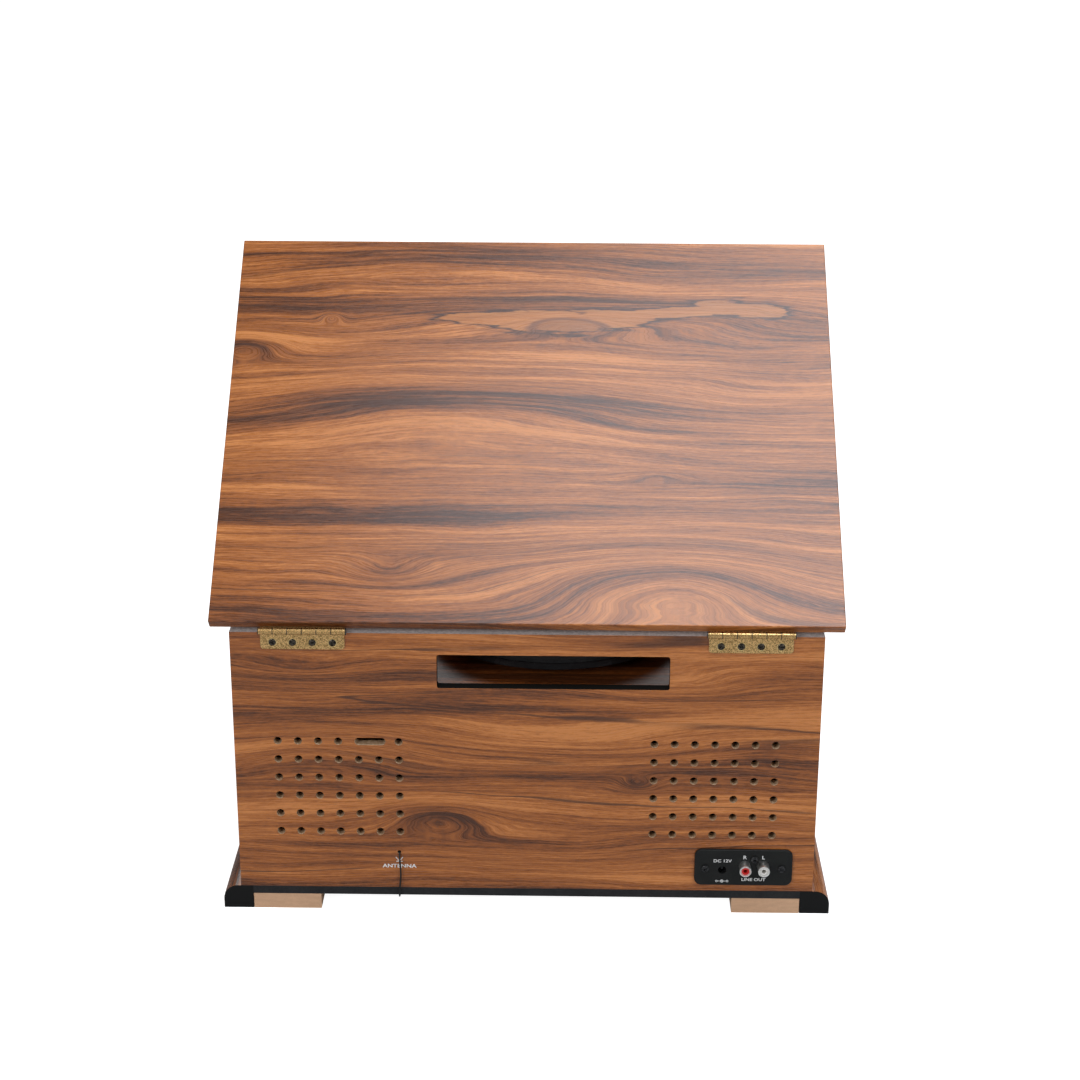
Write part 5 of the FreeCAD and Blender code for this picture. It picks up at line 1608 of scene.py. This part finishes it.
@dataclass
class DeckFittings:
    """The switch plate and its sliders, with numbers and words.

    Attributes:
        top: The plate's upper face.
        level: The slots' place from front to back.
    """

    top: float = 0.1836
    level: float = -0.11675

    def build(self) -> None:
        """Finishes and print."""
        clothe({"switch_plate": Stock.plastic, "speed_slider": Stock.aluminium,
                "auto_stop_slider": Stock.aluminium})
        high, low = self.level + 0.0068, self.level - 0.0068
        up = self.top + PROUD
        words = [Print(text, 0.0020, Spot((across, high, up)))
                 for text, across in (("33", 0.127), ("45", 0.135), ("78", 0.143),
                                      ("ON", 0.161), ("OFF", 0.1695))]
        words += [Print("SPEED", 0.0016, Spot((0.135, low, up)), 1.2),
                  Print("AUTO STOP", 0.0016, Spot((0.165, low, up)), 1.1)]
        show(printed("switch_print", words), "cabinet", "black_plastic", Stock.ink)


@dataclass
class LidStay:
    """The brass stay that holds the lid open."""

    def dress_stay(self) -> None:
        """Brass for the metal parts, black for the roller."""
        clothe({"stay_track": Stock.bright_brass, "stay_bracket": Stock.bright_brass,
                "stay_bar": Stock.bright_brass, "stay_roller": Stock.plastic})


@dataclass(frozen=True)
class Knob:
    """A control knob with a ribbed skirt and a turned cap.

    Attributes:
        name: The piece's name.
        node: The node that it stands for.
        body: The body that it turns with.
        across: Its middle across the front.
        radius: Its radius.
        ribs: How many ribs it has.
        level: Its middle's height.
        face: Where its outer face is.
        length: Its length.
    """

    name: str
    node: str
    body: str
    across: float
    radius: float
    ribs: int
    level: float = 0.077
    face: float = -0.1777
    length: float = 0.0134

    def build(self) -> None:
        """A drum with ribs round it, a cap and a pointer line."""
        sides = self.ribs * 2
        knob = drum(self.name, self.radius - 0.0006, self.length,
                    (0.0, 0.0, self.length / 2), sides)
        turn = 2 * math.pi / sides

        def ridge(middle: Vector, normal: Vector) -> bool:
            """Pick every other side face.

            Args:
                middle: A face's middle.
                normal: Its normal.

            Returns:
                Whether it becomes a rib.
            """
            if abs(normal.z) > 0.5:
                return False
            return round(math.atan2(middle.y, middle.x) / turn - 0.5) % 2 == 0

        pick_faces(knob, ridge)
        bpy.ops.mesh.inset(thickness=0.0002, depth=0.0, use_individual=True)
        bpy.ops.mesh.extrude_faces_move(TRANSFORM_OT_shrink_fatten={"value": 0.0005})
        finish_edit()
        pick_faces(knob, lambda middle, normal: normal.z > 0.9)
        bpy.ops.mesh.inset(thickness=0.0014, depth=0.0)
        bpy.ops.mesh.inset(thickness=0.0006, depth=-0.0005)
        finish_edit()
        top = self.length - 0.0004
        line = block("line", (0.0009, self.radius * 0.62, 0.0008),
                     (0.0, self.radius * 0.52, top))
        cap = drum("cap", self.radius - 0.0030, 0.0006, (0.0, 0.0, top), 64)
        stem = drum("stem", 0.003, 0.017, (0.0, 0.0, -0.0085), 32)
        spot = [Spot((self.across, self.face + self.length, self.level), TO_FRONT)]
        knob = rounded(knob, 0.00015, 1)
        show(copies(knob, self.name, spot), self.body, "black_plastic", Stock.plastic,
             self.node)
        for piece, part, slot, finish in (
                (rounded(cap, 0.0002, 2), "cap", "aluminium", Stock.aluminium),
                (line, "line", "dial_card", Stock.ink),
                (stem, "stem", "steel", Stock.steel)):
            show(copies(piece, f"{self.name}_{part}", spot), self.body, slot, finish)


@dataclass
class FrontPanel:
    """Grilles and loudspeakers, the tuning dial and the three knobs.

    Attributes:
        level: The dial's middle height.
        card: Where the scale card's face is.
        baffle: Where the front's outer face is.
        first: The place across of the scale's first mark.
        span: The distance from the first mark to the last.
        knobs: The three knobs.
    """

    level: float = 0.153
    card: float = -0.15277
    baffle: float = -0.16177
    first: float = -0.055
    span: float = 0.110
    knobs: tuple[Knob, ...] = (
        Knob("ribbed_volume_knob", "volume_knob", "volume", -0.058, 0.012, 30),
        Knob("ribbed_function_knob", "function_knob", "function", 0.0, 0.012, 30),
        Knob("ribbed_tuning_knob", "tuning_knob", "tuning", 0.058, 0.015, 38))

    def build(self) -> None:
        """Finishes, scale, words and knobs."""
        clothe({"speaker_baskets": Stock.steel, "speaker_cones": Stock.paper,
                "speaker_grilles": Cloth("grille_cloth"), "dial_bezel": Stock.bright_brass,
                "dial_window": Stock.glass, "dial_scale": Stock.card,
                "dial_pointer": Stock.pointer, "control_bodies": Stock.tin})
        self.build_scale()
        self.build_words()
        for knob in self.knobs:
            knob.build()

    def build_scale(self) -> None:
        """Two rows of marks with numbers between them."""
        items: list[Union[Print, bpy.types.Object]] = []
        for above, texts in ((0.0115, ("88", "92", "96", "100", "104", "108")),
                             (-0.0150, ("53", "60", "70", "90", "120", "160"))):
            for number, text in enumerate(texts):
                items.append(Print(text, 0.0042, Spot(
                    (self.first + number * 0.022, self.card, self.level + above),
                    TO_FRONT)))
        middle, reach, marks = self.level - 0.002, 0.0045, 30
        for side in (-1, 1):
            items.append(block("rule", (0.118, INK, 0.0004),
                               (0.0, self.card, middle + side * reach)))
            for number in range(marks + 1):
                tall = 0.0034 if number % 5 == 0 else 0.0020
                items.append(block("mark", (0.0004, INK, tall),
                                   (self.first + number * self.span / marks, self.card,
                                    middle + side * (reach - tall / 2))))
        show(printed("dial_marks", items), "cabinet", "dial_card", Stock.dark_ink)

    def build_words(self) -> None:
        """What each knob does, printed under it."""
        words = [Print(text, 0.0030, Spot((across, self.baffle, 0.0520), TO_FRONT), 1.1)
                 for text, across in (("VOLUME", -0.058), ("FUNCTION", 0.0),
                                      ("TUNING", 0.058))]
        show(printed("front_print", words), "cabinet", "wood_foil", Stock.bright_brass)


@dataclass
class Electronics:
    """The circuit board under the deck."""

    def dress_board(self) -> None:
        """Solder mask and tin."""
        clothe({"circuit_board": Stock.board, "board_components": Stock.tin})


@dataclass
class AntennaWire:
    """The thin aerial wire: it hangs from its hole, tucks under, and lies coiled.

    Attributes:
        hole: The hole's place across and where the back's face is.
        route: Points from the hole to the coil: across, behind and height, in mm.
        diameter: The wire's diameter.
        length: Its whole length.
        step: The distance between neighbouring turns.
        inner: The innermost turns' radius.
        outer: The outermost turns' radius.
        per_turn: How many points each turn has.
        low: The height of the lowest layer.
        climbing: How many points each climb to the next layer has.
    """

    hole: tuple[float, float] = (0.0962, 0.16625)
    route: tuple[Point, ...] = (
        (0.0, -13.0, 49.1), (0.0, -5.0, 49.1), (-0.2, 1.0, 48.5), (-0.5, 3.6, 44.5),
        (-0.9, 3.2, 38.1), (-1.1, 2.2, 30.1), (-0.1, 1.8, 20.1), (0.3, 1.5, 13.9),
        (0.4, 0.6, 11.2), (0.5, -2.6, 10.8), (0.6, -8.5, 9.6), (0.7, -19.0, 5.6),
        (0.6, -33.0, 2.4), (0.2, -45.0, 0.8))
    diameter: float = 0.0013
    length: float = 0.750
    step: float = 0.00134
    inner: float = 0.00525
    outer: float = 0.00955
    per_turn: int = 20
    low: float = 0.0008
    climbing: int = 5

    def points(self) -> list[Vector]:
        """Follow the wire's route and then its coil.

        Returns:
            The points, in metres.
        """
        across, rear = self.hole
        line = [Vector((across + side * MM, rear + behind * MM, height * MM))
                for side, behind, height in self.route]
        middle = Vector((line[-1].x + self.outer, line[-1].y - 0.006, 0.0))
        length = sum((b - a).length for a, b in zip(line, line[1:]))
        angle, radius, height = math.pi, self.outer, self.low
        step = 2 * math.pi / self.per_turn
        inward, climb = -1.0, 0.0
        while length < self.length:
            if climb > 0.0:
                height += min(climb, self.step / self.climbing)
                climb -= self.step / self.climbing
                climb = 0.0 if climb < 1.0e-7 else climb
            else:
                radius += inward * self.step / self.per_turn
                if not self.inner <= radius <= self.outer:
                    radius = min(max(radius, self.inner), self.outer)
                    inward, climb = -inward, self.step
            point = middle + Vector((radius * math.cos(angle), radius * math.sin(angle),
                                     height))
            length += (point - line[-1]).length
            line.append(point)
            angle += step
        return line

    def build(self) -> None:
        """One spline of all the points, with a round section."""
        points = self.points()
        data = bpy.data.curves.new("antenna_wire_line", "CURVE")
        data.dimensions = "3D"
        data.resolution_u = 4
        data.bevel_depth = self.diameter / 2
        data.bevel_resolution = 3
        data.use_fill_caps = True
        spline = data.splines.new("NURBS")
        spline.points.add(len(points) - 1)
        for knot, point in zip(spline.points, points):
            knot.co = (*point, 1.0)
        spline.order_u = 3
        spline.use_endpoint_u = True
        wire = bpy.data.objects.new("antenna_cord", data)
        bpy.context.scene.collection.objects.link(wire)
        dress(wire, Stock.wire)
        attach(wire, "cabinet")
        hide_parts("antenna_wire", "antenna_coil")
        LOG.info("antenna_cord: %d points", len(points))


# ------------------------------------------------------------------------- studio

@dataclass
class Camera:
    """A long lens behind the player, looking down on its back.

    Attributes:
        place: Where it stands.
        forward: Which way it looks.
        level: Its right-hand direction before it is rolled.
        roll: How far it is rolled, in degrees.
        lens: Its focal length in millimetres.
    """

    place: Point = (-0.0304, 1.66275, 0.8674)
    forward: Point = (0.01306, -0.93554, -0.35299)
    level: Point = (-0.9999, -0.01396, 0.0)
    roll: float = -0.22
    lens: float = 74.37

    def build(self) -> None:
        """Add the camera to the scene."""
        forward = Vector(self.forward).normalized()
        right = Vector(self.level).normalized()
        above = right.cross(forward)
        turn = Matrix.Rotation(math.radians(self.roll), 3, forward)
        right, above = turn @ right, turn @ above
        data = bpy.data.cameras.new("studio_camera")
        data.lens, data.sensor_width = self.lens, 36.0
        data.clip_start, data.clip_end = 0.05, 60.0
        camera = bpy.data.objects.new("studio_camera", data)
        axes = Matrix((right, above, -forward)).transposed().to_4x4()
        camera.matrix_world = Matrix.Translation(self.place) @ axes
        bpy.context.scene.collection.objects.link(camera)
        bpy.context.scene.camera = camera


@dataclass(frozen=True)
class Softbox:
    """A large square light.

    Attributes:
        name: Its name.
        place: Where it hangs.
        aim: What it points at.
        size: Its width and height.
        power: Its power in watts.
        colour: Its colour.
    """

    name: str
    place: Point
    aim: Point
    size: tuple[float, float]
    power: float
    colour: Colour = (1.0, 1.0, 1.0)

    def build(self) -> None:
        """Add the light to the scene."""
        data = bpy.data.lights.new(self.name, "AREA")
        data.shape = "RECTANGLE"
        data.size, data.size_y = self.size
        data.energy, data.color = self.power, self.colour
        light = bpy.data.objects.new(self.name, data)
        toward = Vector(self.aim) - Vector(self.place)
        light.matrix_world = (Matrix.Translation(self.place)
                              @ toward.to_track_quat("-Z", "Y").to_matrix().to_4x4())
        bpy.context.scene.collection.objects.link(light)


@dataclass
class Studio:
    """A white floor under an overhead softbox, with fill all round.

    Attributes:
        boxes: The lights.
        world: How strongly the white surrounding shines.
    """

    boxes: tuple[Softbox, ...] = (
        Softbox("overhead", (-0.50, 0.45, 1.95), (-0.30, 0.20, 0.2), (1.2, 1.2), 28.0,
                (0.80, 0.90, 1.0)),
        Softbox("behind_left", (1.5, 2.2, 1.5), (0.0, 0.0, 0.2), (1.2, 1.2), 29.0),
        Softbox("behind_right", (-1.7, 2.0, 1.3), (0.0, 0.0, 0.2), (1.2, 1.2), 15.0),
        Softbox("front", (0.3, -2.4, 1.5), (0.0, 0.0, 0.2), (1.6, 1.2), 14.0))
    world: float = 0.20

    def build(self) -> None:
        """Floor, world and lights."""
        clear()
        bpy.ops.mesh.primitive_plane_add(size=60.0, location=(0.0, 0.0, 0.0))
        floor = newest("floor")
        floor.data.materials.append(Lit("floor_white", (0.55, 0.55, 0.55),
                                        (0.54, 0.54, 0.54), (0.8, 0.9), 0.02,
                                        0.00001).material())
        world = bpy.data.worlds.new("studio_world")
        world.use_nodes = True
        background = world.node_tree.nodes["Background"]
        background.inputs["Color"].default_value = (1.0, 1.0, 1.0, 1.0)
        background.inputs["Strength"].default_value = self.world
        bpy.context.scene.world = world
        bpy.context.scene.view_settings.view_transform = "Standard"
        for box in self.boxes:
            box.build()


# --------------------------------------------------------------------------- main


def main() -> None:
    """Build everything in order."""
    logging.basicConfig(level=logging.INFO, format="%(name)s: %(message)s")
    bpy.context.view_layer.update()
    Camera().build()
    Studio().build()
    AntennaWire().build()
    cabinet, lid = Cabinet(), Lid()
    cabinet.dress_walls()
    cabinet.build_sign()
    lid.dress_lid()
    Hinges().build(lid)
    JackPlate().build()
    Turntable().build()
    Tonearm().dress_arm()
    DeckFittings().build()
    LidStay().dress_stay()
    FrontPanel().build()
    Electronics().dress_board()


if __name__ == "__main__":
    main()
